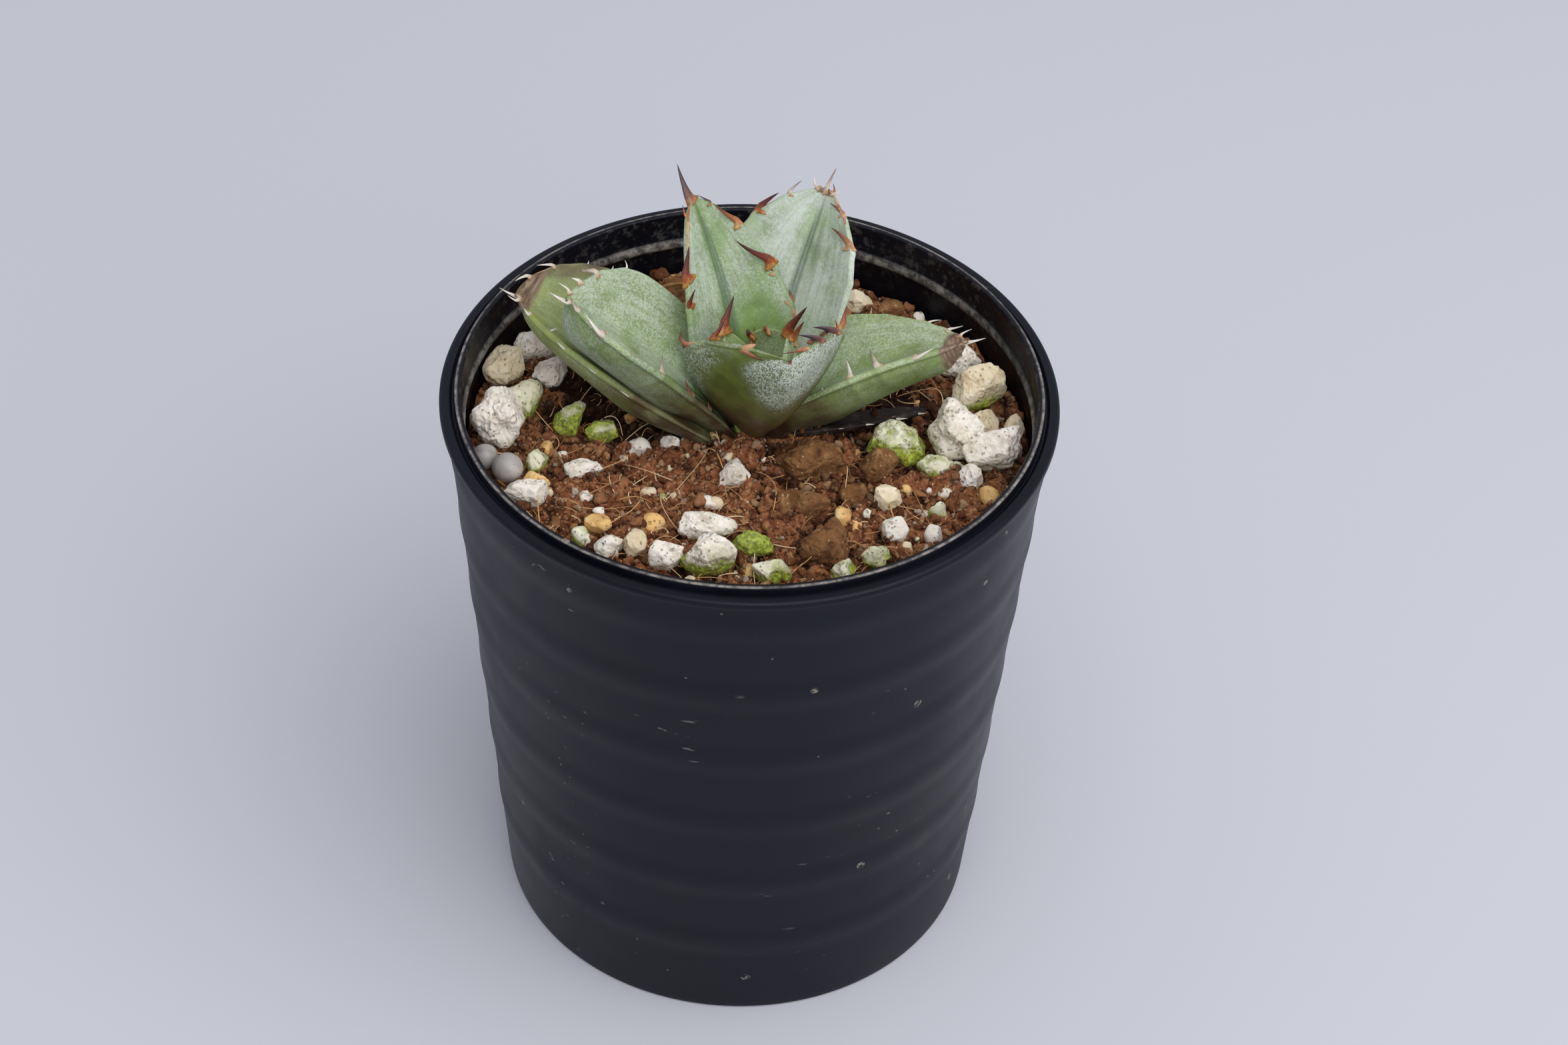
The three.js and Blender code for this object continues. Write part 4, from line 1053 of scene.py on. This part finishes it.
def thorn_finish(kind):
    w = Finish("thorn_" + kind, specular_ior_level=0.5, subsurface_weight=0.12, subsurface_scale=0.0008)
    grain = w.noise(1800.0, 4, rough=0.65)
    reach = w.plus(w.painted("reach"), w.step(grain, 0.2, 0.8, -0.12, 0.12))
    colour = w.blend(w.step(grain, 0.5, 0.75, 0.0, 0.25), w.ramp(reach, THORN_COLOURS[kind]), (120, 96, 80))
    glossy, dull = (0.28, 0.5) if kind in ("young", "orange", "plum") else (0.5, 0.75)
    return w.done(colour, w.step(grain, 0.2, 0.8, glossy, dull), grain, 0.3, 0.00012)


THORNS = [thorn_finish(kind) for kind in KINDS]
print("tooth finishes:", [material.name for material in THORNS])

# %% Build the six open leaves
# Fresh green, waxy green, how white the fine lines are and, for the front leaf, the thinnest wax
GREENS = {
    "leaf_front": ((104, 120, 50), (152, 164, 142), 0.7, 0.6),
    "leaf_back_left": ((116, 148, 70), (192, 204, 190), 0.3),
    "leaf_back_right": ((152, 178, 122), (214, 224, 218), 0.3),
    "leaf_left_front": ((118, 146, 68), (182, 196, 172), 0.35),
    "leaf_right": ((128, 152, 72), (180, 194, 164), 0.3),
    "leaf_left_back": ((148, 162, 80), (178, 188, 148), 0.25),
}


def add_leaf(name, leaf, patches, skin, slot, seed):
    parts = Parts()
    add_blade(parts, leaf, patches, seed)
    add_teeth(parts, leaf, 1)
    piece = parts.build(name + "_grown", [skin, *THORNS], slot, [name])
    print(name, len(piece.data.polygons), "faces,", len(leaf.teeth), "teeth")
    return piece


for number, (name, leaf) in enumerate(LEAVES.items()):
    add_leaf(name, leaf, PATCHES[name], leaf_skin(name + "_skin", *GREENS[name]), "leaf", 20 + number)

# %% [markdown]
# ### The bud
# The three youngest leaves stand in the heart, still fresh yellow-green and without wax, with the
# reddest teeth. They follow the same leaf rule.

# %% Build the bud
bud_skin = leaf_skin("bud_skin", (140, 166, 84), (184, 200, 160))
BUD_PATCHES = [("wax", 0, 0.7, 0.6, 0, 2, 0.7)]
for number, (name, leaf) in enumerate(BUD_LEAVES.items()):
    add_leaf(name, leaf, BUD_PATCHES, bud_skin, "bud", 40 + number)

# %% [markdown]
# ### Dead leaf and dry scrap
# A withered leaf has lost its flesh: a dark strap under the right leaf still holds its ivory teeth, and
# a curled scrap lies behind the left ones. Both are the leaf rule again, thin and wrinkled.

# %% Dead leaf and dry scrap
DEAD_LEAF = Leaf(
    turn=8, swing=14, rise=(4, -2), length=21, half=2.6, roll=(-25, -20), fold=(10, 20), cup=(0, 0),
    base=0.8, widest=0.4, point=(2, 0.8), thick=(1.2, 0.6), height=86.6, root=6,
    teeth=[(1, 0.3, 1.4, 80, 0, 10, 0.8, "ivory"), (1, 0.5, 1.6, 80, 0, 10, 0.8, "ivory"),
           (1, 0.72, 2, 85, 0, 10, 0.8, "ivory"), (1, 0.9, 1.4, 80, 0, 10, 0.8, "ivory")])
DRY_SCRAP = Leaf(
    turn=60, swing=-150, rise=(12, 6), length=15, half=2.2, roll=(60, 40), fold=(25, 25), cup=(0, 0),
    base=0.7, widest=0.4, point=(2, 0.8), thick=(0.5, 0.3), height=0.0, start=(-17, 27))
DRY_ALL_OVER = [("dry", 0, 0.5, 1.0, 0, 3, 1.0)]


def withered(name, dark, middle, light):
    w = Finish(name, specular_ior_level=0.3)
    tone = w.effect(MOTTLE, scale=500.0, dark=dark, middle=middle, light=light)
    grooves = w.drawn_out(9.0, 2.5)
    colour = w.blend(w.step(grooves, 0.4, 0.7, 0.0, 0.6), tone["Color"], dark)
    return w.done(colour, w.step(tone["Value"], 0.3, 0.7, 0.5, 0.8), grooves, 0.7, 0.0004)


def add_withered(name, leaf, colours, slot, seed):
    """A withered leaf. One with a start of its own is lowered to where the frame's piece begins."""
    if leaf.start:
        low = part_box(name)[0].z / MM
        u, under, _ = ring_places()
        s, u, under = np.broadcast_arrays(np.linspace(0, 1, 30)[:, None], u[None], under[None])
        trial = blade_points(leaf, s, u, under)
        leaf = replace(leaf, height=low - trial[..., 2].min() + 0.1)
    parts = Parts()
    add_blade(parts, leaf, DRY_ALL_OVER, seed)
    add_teeth(parts, leaf, 1)
    return parts.build(name + "_curl", [withered(name + "_skin", *colours), *THORNS], slot, [name])


add_withered("dead_leaf", DEAD_LEAF, [(26, 22, 22), (44, 36, 34), (88, 74, 66)], "dead", 51)
add_withered("dry_scrap", DRY_SCRAP, [(96, 62, 38), (150, 108, 68), (196, 160, 112)], "dry", 52)
print("withered pieces done")

# %% [markdown]
# ## The potting mix
# The real surface is crumbled peat and bark: clumps a few millimetres wide, crumbs on the clumps, and
# grains on the crumbs. A flat disc with a bump map looks painted at this distance, so the relief
# is real: a fine round grid lifted by folded noise, which makes round clumps with sharp creases, then
# thousands of loose crumbs that lie on it. It heaps a little against every stone.

# %% Height of the mix
MIX_TOP = 84.0
MIX_EDGE = 41.35
# Where the mix is heaped: middle x and y, height, and how far it reaches in x and y, squared
MOUNDS = ((10, -14, 0.5, 90, 90), (-2, -5, 3.6, 90, 24), (9, -1, 2.0, 26, 26))
# The shade under the left leaves and under the right one: middle x and y, reach in x and y
SHADES = ((-12, 7.5, 21, 11.5), (19, 7.5, 9.5, 8.5))
CLUMPS = ((3.6, 2.1, 11), (1.6, 1.1, 12), (0.75, 0.5, 13))      # size, strength and seed
STONE_KINDS = ("pumice", "mossy", "cream", "clod", "tan", "bead")
stone_names = [n for n in sorted(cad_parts) if n.split("_")[0] in STONE_KINDS and n[-1].isdigit()]
stone_feet = [((low + high) / 2 / MM, (high - low) / MM) for low, high in map(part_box, stone_names)]


def flat_points(x, y):
    return np.stack([x, y, np.zeros_like(x)], -1)


def mix_height(x, y):
    """The height of the mix's surface in millimetres, without its clumps and grains."""
    flat = flat_points(x, y)
    height = MIX_TOP + 0.2 + 0.7 * bumps(flat, 11.0, 1) + 0.45 * bumps(flat, 5.0, 2)
    height = height - 0.9 * soft(np.hypot(x, y), 36, 41.5)
    for at_x, at_y, tall, wide, deep in MOUNDS:
        height = height + tall * np.exp(-((x - at_x) ** 2 / wide + (y - at_y) ** 2 / deep))
    for middle, size in stone_feet:
        reach = 0.5 * max(size.x, size.y)
        near = np.exp(-(np.hypot(x - middle.x, y - middle.y) / (1.15 * reach)) ** 4)
        height = height * (1 - 0.75 * near) + (MIX_TOP + 0.4) * 0.75 * near
    return height


def painted_shade_beside_stone(x, y):
    """1 in the ring of painted shade round a stone's foot, where the soil is darkened, 0 away from it."""
    ring = np.zeros_like(x)
    for middle, size in stone_feet:
        away = np.hypot((x - middle.x) / (0.5 * size.x + 0.3), (y - middle.y) / (0.5 * size.y + 0.3))
        ring = np.maximum(ring, np.exp(-((away - 1) / 0.22) ** 2))
    return ring


def painted_shade_under_leaves(x, y):
    """1 where the soil under the side leaves is darkened with painted shade, 0 in the open."""
    left, right = (soft(1.15 - np.hypot((x - at_x) / wide, (y - at_y) / deep), 0.0, 0.35)
                   for at_x, at_y, wide, deep in SHADES)
    return np.maximum(left, right)


def clumps(x, y):
    """Round clumps with sharp creases between them, at three sizes."""
    total = 0.0
    for size, strength, seed in CLUMPS:
        total = total + strength * np.abs(bumps(flat_points(x, y), size, seed))
    return total - 0.8


print("mix at the stem:", round(float(mix_height(np.array(0.0), np.array(0.0))), 1), "mm")


# %% The mix as one body
def add_mix_body(material):
    """The mix as one closed body: its floor, its side along the pot's wall and its crumbled top."""
    rings, around, bottom = 170, 560, 4.4
    angle = np.linspace(0, 2 * np.pi, around, endpoint=False)

    def circle(radius, height):
        return np.stack([radius * np.cos(angle), radius * np.sin(angle), np.full(around, height)], -1)

    radius = MIX_EDGE * np.linspace(0.004, 1, rings)
    x, y = radius[:, None] * np.cos(angle), radius[:, None] * np.sin(angle)
    relief = clumps(x, y)
    top = np.stack([x, y, mix_height(x, y) + relief], -1)
    # Painted shade: the bed is darkened in the creases between its clumps, in a ring round each stone and
    # under the side leaves. damp holds the shade by the stones and leaves, and deep the whole darkening.
    damp = np.maximum(0.5 * painted_shade_beside_stone(x, y), painted_shade_under_leaves(x, y))
    deep = soft(0.2 - relief + damp, 0.0, 0.6)
    side = [circle(inner_radius(height) - 0.4, height) for height in (bottom, 6, 20, 40, 60, 80)]
    points, faces = capped_skin(np.concatenate([[circle(20, bottom)], side, top[::-1]]))
    rest = np.zeros(len(points) - deep.size - 2)
    parts = Parts()
    parts.add(points, faces, deep=np.concatenate([rest, deep[::-1].ravel(), [0, 0]]))
    return parts.build("mix_body", [material], "mix", ["potting_mix"])


# %% Mix finish
CRUMB_TONES = [(0.0, (64, 36, 25)), (0.25, (132, 80, 52)), (0.5, (180, 120, 80)), (0.74, (218, 164, 112)),
               (0.9, (206, 180, 150)), (1.0, (248, 240, 226))]


def crumb_finish(name, by_grain):
    w = Finish(name, specular_ior_level=0.2)
    tone = w.effect(MOTTLE, scale=1100.0, dark=(90, 54, 36), middle=(172, 110, 74), light=(224, 172, 126))
    colour = tone["Color"]
    if by_grain:
        colour = w.blend(0.72, colour, w.ramp(w.painted("tone"), CRUMB_TONES))
    colour = w.blend(w.times(specks(w, 2100.0, 0.3, 0.16), 0.8), colour, (222, 192, 158))
    colour = w.blend(w.times(specks(w, 1500.0, 0.3, 0.22), 0.5), colour, (64, 38, 26))
    # Painted shade: where deep is painted, the mix turns nearly black.
    colour = w.blend(w.times(w.painted("deep"), 0.9), colour, (28, 17, 12))
    return w.done(colour, w.step(tone["Value"], 0.3, 0.7, 0.95, 0.8),
                  w.noise(2000.0, 6, rough=0.8), 1.0, 0.0005)


mix_body = add_mix_body(crumb_finish("mix_bed", False))
print("mix:", len(mix_body.data.polygons), "faces")


# %% Loose crumbs
def scatter(count, radius, rng):
    """Random places in a round patch."""
    away = radius * np.sqrt(rng.random(count))
    turn = rng.random(count) * 2 * np.pi
    return away * np.cos(turn), away * np.sin(turn)


def random_turns(count, rng):
    """That many random rotation matrices."""
    a, b, c, d = unit(rng.normal(size=(count, 4))).T
    rows = [1 - 2 * (c * c + d * d), 2 * (b * c - a * d), 2 * (b * d + a * c),
            2 * (b * c + a * d), 1 - 2 * (b * b + d * d), 2 * (c * d - a * b),
            2 * (b * d - a * c), 2 * (c * d + a * b), 1 - 2 * (b * b + c * c)]
    return np.stack(rows, -1).reshape(-1, 3, 3)


def crumbs(rng, *batches):
    """Grains of random size and turn on the mix. A batch: count, ball level, sizes, palest tone, sink."""
    parts = Parts()
    for count, level, smallest, largest, palest, sink in batches:
        shape, faces, _ = ball(level)
        x, y = scatter(count, MIX_EDGE - 0.6, rng)
        size = smallest + (largest - smallest) * rng.random(count) ** 2.2
        stretch = 0.55 + 0.85 * rng.random((count, 3)) ** 1.5
        own = shape[None] + 50 * rng.random((count, 1, 3))
        lumpy = 0.85 + 0.85 * bumps(own, 0.9, 71)[..., None] + 0.26 * rng.random((count, len(shape), 1))
        grains = shape[None] * lumpy * stretch[:, None] * size[:, None, None] / 2
        grains = np.einsum("nij,npj->npi", random_turns(count, rng), grains)
        ground = mix_height(x, y) + clumps(x, y)
        grains += np.stack([x, y, ground + size * (0.5 - sink)], -1)[:, None]
        index = faces[None] + np.arange(count)[:, None, None] * len(shape)
        tone = palest * rng.random(count)
        # Painted shade: each crumb is darker on its underside, and crumbs beside the stones and under the
        # side leaves are darker too.
        low = soft((grains[..., 2].mean(1) - 0.1 * size)[:, None] - grains[..., 2], 0, 0.4)
        damp = np.maximum(0.7 * painted_shade_beside_stone(x, y), 0.95 * painted_shade_under_leaves(x, y))
        parts.add(grains.reshape(-1, 3), index.reshape(-1, 3), tone=np.repeat(tone, len(shape)),
                  deep=np.maximum(low, damp[:, None]).ravel())
    return parts


crumb_earth = crumb_finish("mix_crumb", True)
rng = np.random.default_rng(7)
clumped = crumbs(rng, (170, 3, 1.2, 2.8, 0.7, 0.3), (6500, 1, 0.25, 0.75, 1.0, 0.05))
loose = crumbs(rng, (2400, 2, 0.5, 1.6, 0.9, 0.15))
fine = crumbs(rng, (2400, 2, 0.45, 1.1, 1.0, 0.0))
for name, grains in (("mix_clumps", clumped), ("mix_crumbs", loose), ("mix_fines", fine)):
    piece = grains.build(name, [crumb_earth], "mix")
    print(name + ":", len(piece.data.polygons), "faces")

# %% [markdown]
# ### Rootlets
# Coir and dead roots lie across the surface as tan hairs, some arching free of it. A curve object with
# a bevel would do for one; a loop that walks over the ground makes them all follow the relief.

# %% Rootlets
def add_rootlet(parts, start, turn, length, radius, arch, rng):
    steps = 22
    bend = rng.normal(0, 0.10) + np.cumsum(rng.normal(0, 0.07, steps))
    way = turn + np.cumsum(np.full(steps, 0.02) + bend * 0.25)
    x = start[0] + np.cumsum(np.cos(way)) * length / steps
    y = start[1] + np.cumsum(np.sin(way)) * length / steps
    inside = np.minimum(1, (MIX_EDGE - 0.5) / np.hypot(x, y))
    x, y = x * inside, y * inside
    t = np.linspace(0, 1, steps)
    ground = mix_height(x, y) + 0.35
    z = np.convolve(np.pad(ground, 3, "edge"), np.ones(7) / 7, "valid") + 0.75 + arch * np.sin(np.pi * t)
    path = np.stack([x, y, z], -1)
    ahead = unit(np.gradient(path, axis=0))
    beside = unit(np.cross(ahead, [0, 0, 1.0]))
    thin = radius * (1 - 0.55 * t)
    points, faces = capped_skin(tube(path, thin, thin, beside, np.cross(beside, ahead), 6))
    parts.add(points, faces, tone=rng.random())


def rootlet_finish():
    w = Finish("rootlet", specular_ior_level=0.3)
    grain = w.noise(900.0, 4)
    tone = w.plus(w.painted("tone"), w.step(grain, 0.2, 0.8, -0.15, 0.15))
    colour = w.ramp(tone, [(0.0, (140, 88, 54)), (0.5, (206, 158, 106)), (1.0, (240, 214, 170))])
    return w.done(colour, w.step(grain, 0.2, 0.8, 0.6, 0.85))


rootlets = Parts()
rng = np.random.default_rng(11)
for count, longest in ((190, 13), (380, 4)):
    for _ in range(count):
        x, y = scatter(1, 38, rng)
        add_rootlet(rootlets, (x[0], y[0]), rng.random() * 2 * np.pi, rng.uniform(0.3, 1) * longest,
                    rng.uniform(0.05, 0.12), rng.uniform(0.0, 0.16) * longest * (rng.random() < 0.55), rng)
rootlets.build("rootlets", [rootlet_finish()], "root")
print("rootlets:", len(rootlets.points))

# %% [markdown]
# ## Stones, clods and beads
# Pumice is a stiff foam: chips with soft corners, lumps and pores. The frame's stones give each one's
# place and outline in a few flats. Subdividing those would melt them into eggs. Instead, a ray from
# the middle of the frame's stone finds its outline in each direction of a fine ball; that outline is
# smoothed, chipped with a few planes and then roughened with bumps and pores of true size.

# %% Shape a stone round its frame outline
def outline(name, directions):
    """The middle of the frame's stone, and how far its surface is in each direction, in millimetres."""
    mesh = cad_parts[name].data
    corners = [v.co for v in mesh.vertices]
    tree = BVHTree.FromPolygons(corners, [p.vertices[:] for p in mesh.polygons])
    middle = sum(corners, Vector()) / len(corners)
    far = [tree.ray_cast(middle, Vector(d))[3] or 0.0 for d in directions]
    return np.array(middle) / MM, np.array(far) / MM


def smoothed(value, edges, rounds):
    """Each point's value drawn towards its neighbours' mean, that many times."""
    count = np.bincount(edges.ravel(), minlength=len(value))
    for _ in range(rounds):
        total = np.bincount(edges[:, 0], value[edges[:, 1]], len(value))
        total += np.bincount(edges[:, 1], value[edges[:, 0]], len(value))
        value = 0.4 * value + 0.6 * total / count
    return value


def chipped(directions, radius, chips, rng):
    """Flat chips taken off a stone's sides and top. Its foot stays whole."""
    for _ in range(chips):
        normal = unit(rng.normal(size=3))
        if normal[2] < -0.35:
            continue
        facing = directions @ normal
        reach = (facing * radius).max() * rng.uniform(0.6, 0.9)
        cut = np.where(facing > 0.05, reach / np.maximum(facing, 0.05), 1e9)
        radius = np.minimum(radius, cut)
    return radius


# %% Shape and roughen a stone
BALLS = {level: ball(level) for level in (5, 6)}
# chips, smoothing rounds after them, bump share at 2.2, 0.9 and 0.35 mm, whether the middle bumps
# are lumps (1) or hollows (-1), pores per stone and their width
STONE_SHAPES = {
    "pumice": (24, 1, (0.26, 0.09, 0.05), -1, 7, 0.09), "mossy": (22, 1, (0.28, 0.10, 0.05), -1, 7, 0.10),
    "cream": (22, 1, (0.20, 0.07, 0.035), -1, 4, 0.07), "clod": (26, 1, (0.30, 0.07, 0.05), 1, 5, 0.12),
    "tan": (16, 2, (0.14, 0.04, 0.015), 1, 2, 0.08), "bead": (0, 12, (0.015, 0.004, 0.0), 1, 0, 0.1),
}


def roughened(places, radius, kind, seed):
    """Bumps at three sizes. The middle ones are folded, which leaves sharp creases or sharp ridges."""
    _, _, (coarse, middle, fine), lumps, _, _ = STONE_SHAPES[kind]
    size = min(radius.mean(), 3.4)
    radius = radius + coarse * size * bumps(places, 2.2, seed)
    radius = radius + lumps * middle * size * (2 * np.abs(bumps(places, 0.9, seed + 1, 2)) - 0.5)
    return radius + fine * size * bumps(places, 0.35, seed + 2, 2)


def stone_points(name, kind, level, seed):
    """A stone's points and faces in its frame outline's box, and how deep in a pore each point lies."""
    directions, faces, edges = BALLS[level]
    chips, rounds, _, _, pores, width = STONE_SHAPES[kind]
    rng = np.random.default_rng(seed)
    middle, radius = outline(name, directions)
    fineness = 4 ** (level - 5)
    radius = smoothed(radius, edges, 8 * fineness)
    radius = smoothed(chipped(directions, radius, chips, rng), edges, rounds * fineness)
    size = radius.mean()
    radius = roughened(directions * radius[:, None] + middle, radius, kind, seed)
    hollow = np.zeros(len(directions))
    for _ in range(int(pores * max(1.0, size / 3))):
        spot = unit(rng.normal(size=3))
        wide = width * rng.uniform(0.5, 1.5) * 3 / max(size, 1.5)
        pore = np.exp(-((1 - directions @ spot) / (wide * wide)) ** 2)
        hollow = np.maximum(hollow, pore)
        radius = radius - 0.07 * size * rng.uniform(0.4, 1.2) * pore
    points = directions * radius[:, None]
    floor, roof = (np.array(v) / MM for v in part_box(name))
    points = (points - points.min(0)) / np.ptp(points, 0) * (roof - floor) + floor
    return points, faces, hollow


# %% [markdown]
# ### Finishes of the stones
# Pumice is chalk white, its pores greyed with painted shade; those that stay damp wear a green film
# that starts low and in the hollows. Cream and tan ones are baked clay and feldspar, clods are crumbs
# stuck together, and the grey beads are slow-release feed: smooth, round and a little glassy.

# %% Stone finishes
def mineral(name, tones, pore_shade_colour, pores, film=0.6, rough=(0.97, 0.8)):
    """A porous mineral: its three tones, the colour of the painted shade in its pores and their share, and
    how strong its green film is.
    """
    w = Finish(name, specular_ior_level=0.25)
    dark, middle, light = tones
    tone = w.effect(MOTTLE, scale=330.0, dark=dark, middle=middle, light=light)
    pits = w.effect(PITTING, scale=1700.0, share=pores)
    damp, green = w.painted("damp"), w.painted("green")
    # Painted shade: the small pores and the stone's modelled pores are darkened towards the pore colour.
    colour = w.blend(w.times(pits["Pit"], 0.42), tone["Color"], pore_shade_colour)
    colour = w.blend(w.times(w.painted("hollow"), 0.3), colour, pore_shade_colour)
    weather = w.plus(w.noise(190.0, 4, rough=0.6), w.times(damp, 0.2))
    weather = w.times(w.step(weather, 0.48, 0.72), w.plus(green, 0.25))
    colour = w.blend(w.calc("MINIMUM", w.times(weather, 0.6), 0.6), colour, (168, 160, 122))
    algae = w.effect(ALGAE, damp=damp, amount=w.times(green, film))
    colour = w.blend(w.times(algae["Mask"], 0.9), colour, algae["Color"])
    soil = w.times(w.step(damp, 0.62, 1.0), w.step(w.noise(600.0, 4), 0.4, 0.65, 0.1, 0.8))
    return w.done(w.blend(soil, colour, (104, 66, 44)), w.step(tone["Value"], 0.3, 0.7, *rough),
                  pits["Height"], 0.85, 0.00035)


# %% Clods and beads
def clod_finish():
    w = Finish("clod_earth", specular_ior_level=0.2)
    tone = w.effect(MOTTLE, scale=420.0, dark=(92, 60, 36), middle=(150, 106, 68), light=(196, 152, 104))
    sparks, dark = specks(w, 1500.0, 0.22, 0.2), specks(w, 1050.0, 0.25, 0.2)
    colour = w.blend(w.times(dark, 0.6), tone["Color"], (58, 38, 28))
    colour = w.blend(w.times(sparks, 0.7), colour, (236, 212, 172))
    # Painted shade: the clod's modelled pores are darkened.
    colour = w.blend(w.times(w.painted("hollow"), 0.4), colour, (70, 42, 28))
    return w.done(colour, w.step(tone["Value"], 0.3, 0.7, 0.98, 0.82),
                  w.noise(1700.0, 5, rough=0.75), 1.0, 0.0006)


def bead_finish():
    w = Finish("feed_bead", specular_ior_level=0.5, subsurface_weight=0.3, subsurface_scale=0.001)
    tone = w.effect(MOTTLE, scale=260.0, dark=(142, 138, 138), middle=(172, 168, 166), light=(192, 188, 186))
    colour = w.blend(w.times(specks(w, 1400.0, 0.2, 0.15), 0.4), tone["Color"], (96, 82, 72))
    return w.done(colour, w.step(tone["Value"], 0.3, 0.7, 0.34, 0.46))


# %% The finish of each kind
CHALK_TONES = (214, 202, 186), (251, 243, 231), (255, 252, 246)
MOSSY_TONES = (188, 184, 146), (232, 230, 204), (248, 247, 230)
CREAM_TONES = (206, 184, 146), (238, 222, 190), (250, 240, 218)
TAN_TONES = (196, 142, 80), (240, 196, 128), (252, 228, 178)
STONE_FINISHES = {
    "pumice": mineral("pumice_chalk", CHALK_TONES, (150, 132, 114), 0.32),
    "mossy": mineral("pumice_green", MOSSY_TONES, (118, 120, 50), 0.4, film=1.0),
    "cream": mineral("cream_clay", CREAM_TONES, (156, 120, 84), 0.25),
    "clod": clod_finish(),
    "tan": mineral("tan_feldspar", TAN_TONES, (140, 88, 48), 0.25, rough=(0.75, 0.5)),
    "bead": bead_finish(),
}
print("stone finishes:", [material.name for material in STONE_FINISHES.values()])

# %% Place the stones
# How green each kind of stone is, and the stones that differ from their kind. The others aren't green.
GREEN = {
    "mossy": 0.85, "pumice": 0.12, "cream": 0.2, "mossy_1": 0.96, "mossy_3": 1.0, "mossy_4": 1.25,
    "mossy_10": 1.1, "pumice_2": 0.5, "pumice_3": 0.6, "pumice_6": 0.3, "pumice_7": 1.3, "pumice_8": 0.75,
    "pumice_9": 0.1, "pumice_13": 0.4, "cream_1": 0.4, "cream_2": 0.9}
LARGE_STONE = 9.5 * MM      # the diagonal of its box, over which a stone gets a finer ball


def add_stone(name, seed):
    kind = name.split("_")[0]
    low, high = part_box(name)
    level = 6 if (high - low).length > LARGE_STONE else 5
    points, faces, hollow = stone_points(name, kind, level, seed)
    damp = soft((high.z / MM - points[:, 2]) / (high.z - low.z) * MM, 0.15, 1.0)
    parts = Parts()
    parts.add(points, faces, hollow=hollow, damp=damp, green=GREEN.get(name, GREEN.get(kind, 0.0)))
    return parts.build(name + "_chip", [STONE_FINISHES[kind]], kind, [name])


for number, name in enumerate(stone_names):
    add_stone(name, 100 + number)
print("stones:", len(stone_names))


# %% Small grit between the stones
# Chips too small for the frame, placed as the plant has them: kind, x, y, size
PLACED_CHIPS = [
    ("pumice", -16.2, -3.4, 3.8), ("pumice", 27.1, -19.6, 3.8), ("mossy", -23.2, -22.8, 3.6),
    ("mossy", 27.8, -14.6, 3.6), ("tan", 35, -11, 3.6), ("tan", -13.2, -20.0, 3.8), ("tan", 14, -17.2, 3.2),
    ("tan", -29.4, -4.1, 3.0), ("cream", -14.0, -12.4, 2.5), ("pumice", -23.1, -14.4, 2.2),
    ("cream", 23.4, -22.9, 2.6), ("pumice", 29.0, -10.9, 2.6), ("mossy", 30.6, -5.0, 2.8),
]
GRIT_KINDS = ["pumice", "cream", "tan", "mossy", "clod"]
GRIT_SHARES = [0.3, 0.24, 0.22, 0.12, 0.12]


def add_grit(count, rng):
    """Chips of 1 to 3 mm, of the same minerals, where no big stone lies."""
    directions, faces, _ = ball(3)
    shape = Parts()
    chips = [(x, y, size, GRIT_KINDS.index(kind)) for kind, x, y, size in PLACED_CHIPS]
    for x, y in zip(*scatter(count, MIX_EDGE - 1.2, rng)):
        size = 0.9 + 1.8 * rng.random() ** 1.7
        kind = rng.choice(len(GRIT_KINDS), p=GRIT_SHARES)
        if all(math.hypot(x - m.x, y - m.y) > 0.45 * max(s.x, s.y) for m, s in stone_feet):
            chips.append((x, y, size, kind))
    for x, y, size, number in chips:
        kind, half = GRIT_KINDS[number], size / 2
        radius = chipped(directions, np.full(len(directions), half), 9, rng)
        radius = roughened(directions * half, radius, kind, int(rng.integers(1000)))
        points = directions * radius[:, None] * rng.uniform(0.7, 1.15, 3)
        ground = mix_height(np.array([x]), np.array([y]))[0] + 0.3 * size
        damp = soft(0.5 - points[:, 2] / size, 0.15, 1.0)
        green = 0.9 if kind == "mossy" else 0.0
        shape.add(points + [x, y, ground], faces, int(number), damp=damp, green=green, hollow=0.0)
    return shape.build("grit", [STONE_FINISHES[kind] for kind in GRIT_KINDS], "mix")


grit = add_grit(190, np.random.default_rng(23))
print("grit:", len(grit.data.polygons), "faces")

# %% [markdown]
# ## Stem and roots
# The stem is hidden under the leaf bases and the roots under the mix. Their frame shapes are right,
# so they stay and only get a bark-brown, lengthwise-grained finish.

# %% Root finish
def root_bark():
    w = Finish("root_bark", specular_ior_level=0.25)
    tone = w.effect(MOTTLE, scale=260.0, dark=(88, 62, 42), middle=(148, 116, 80), light=(190, 162, 122))
    fibre = w.noise(1200.0, 5, warp=0.6, rough=0.7)
    return w.done(tone["Color"], w.step(fibre, 0.3, 0.7, 0.7, 0.9), fibre, 0.8, 0.0004)


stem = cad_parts["stem_and_roots"]
stem.data.materials.clear()
stem.data.materials.append(root_bark())
print("stem finish:", stem.data.materials[0].name)

# %% [markdown]
# ## The floor
# A pale floor much wider than the view, so that no edge of it shows.

# %% Floor
FLOOR_HALF = 6.0


def add_floor():
    mesh = bpy.data.meshes.new("floor")
    corners = [(-FLOOR_HALF, -FLOOR_HALF, 0), (FLOOR_HALF, -FLOOR_HALF, 0),
               (FLOOR_HALF, FLOOR_HALF, 0), (-FLOOR_HALF, FLOOR_HALF, 0)]
    mesh.from_pydata(corners, [], [(0, 1, 2, 3)])
    floor = bpy.data.objects.new("floor", mesh)
    mesh.materials.append(Finish("pale_floor", base_color=(204, 206, 216), roughness=0.75).material)
    bpy.context.collection.objects.link(floor)


add_floor()
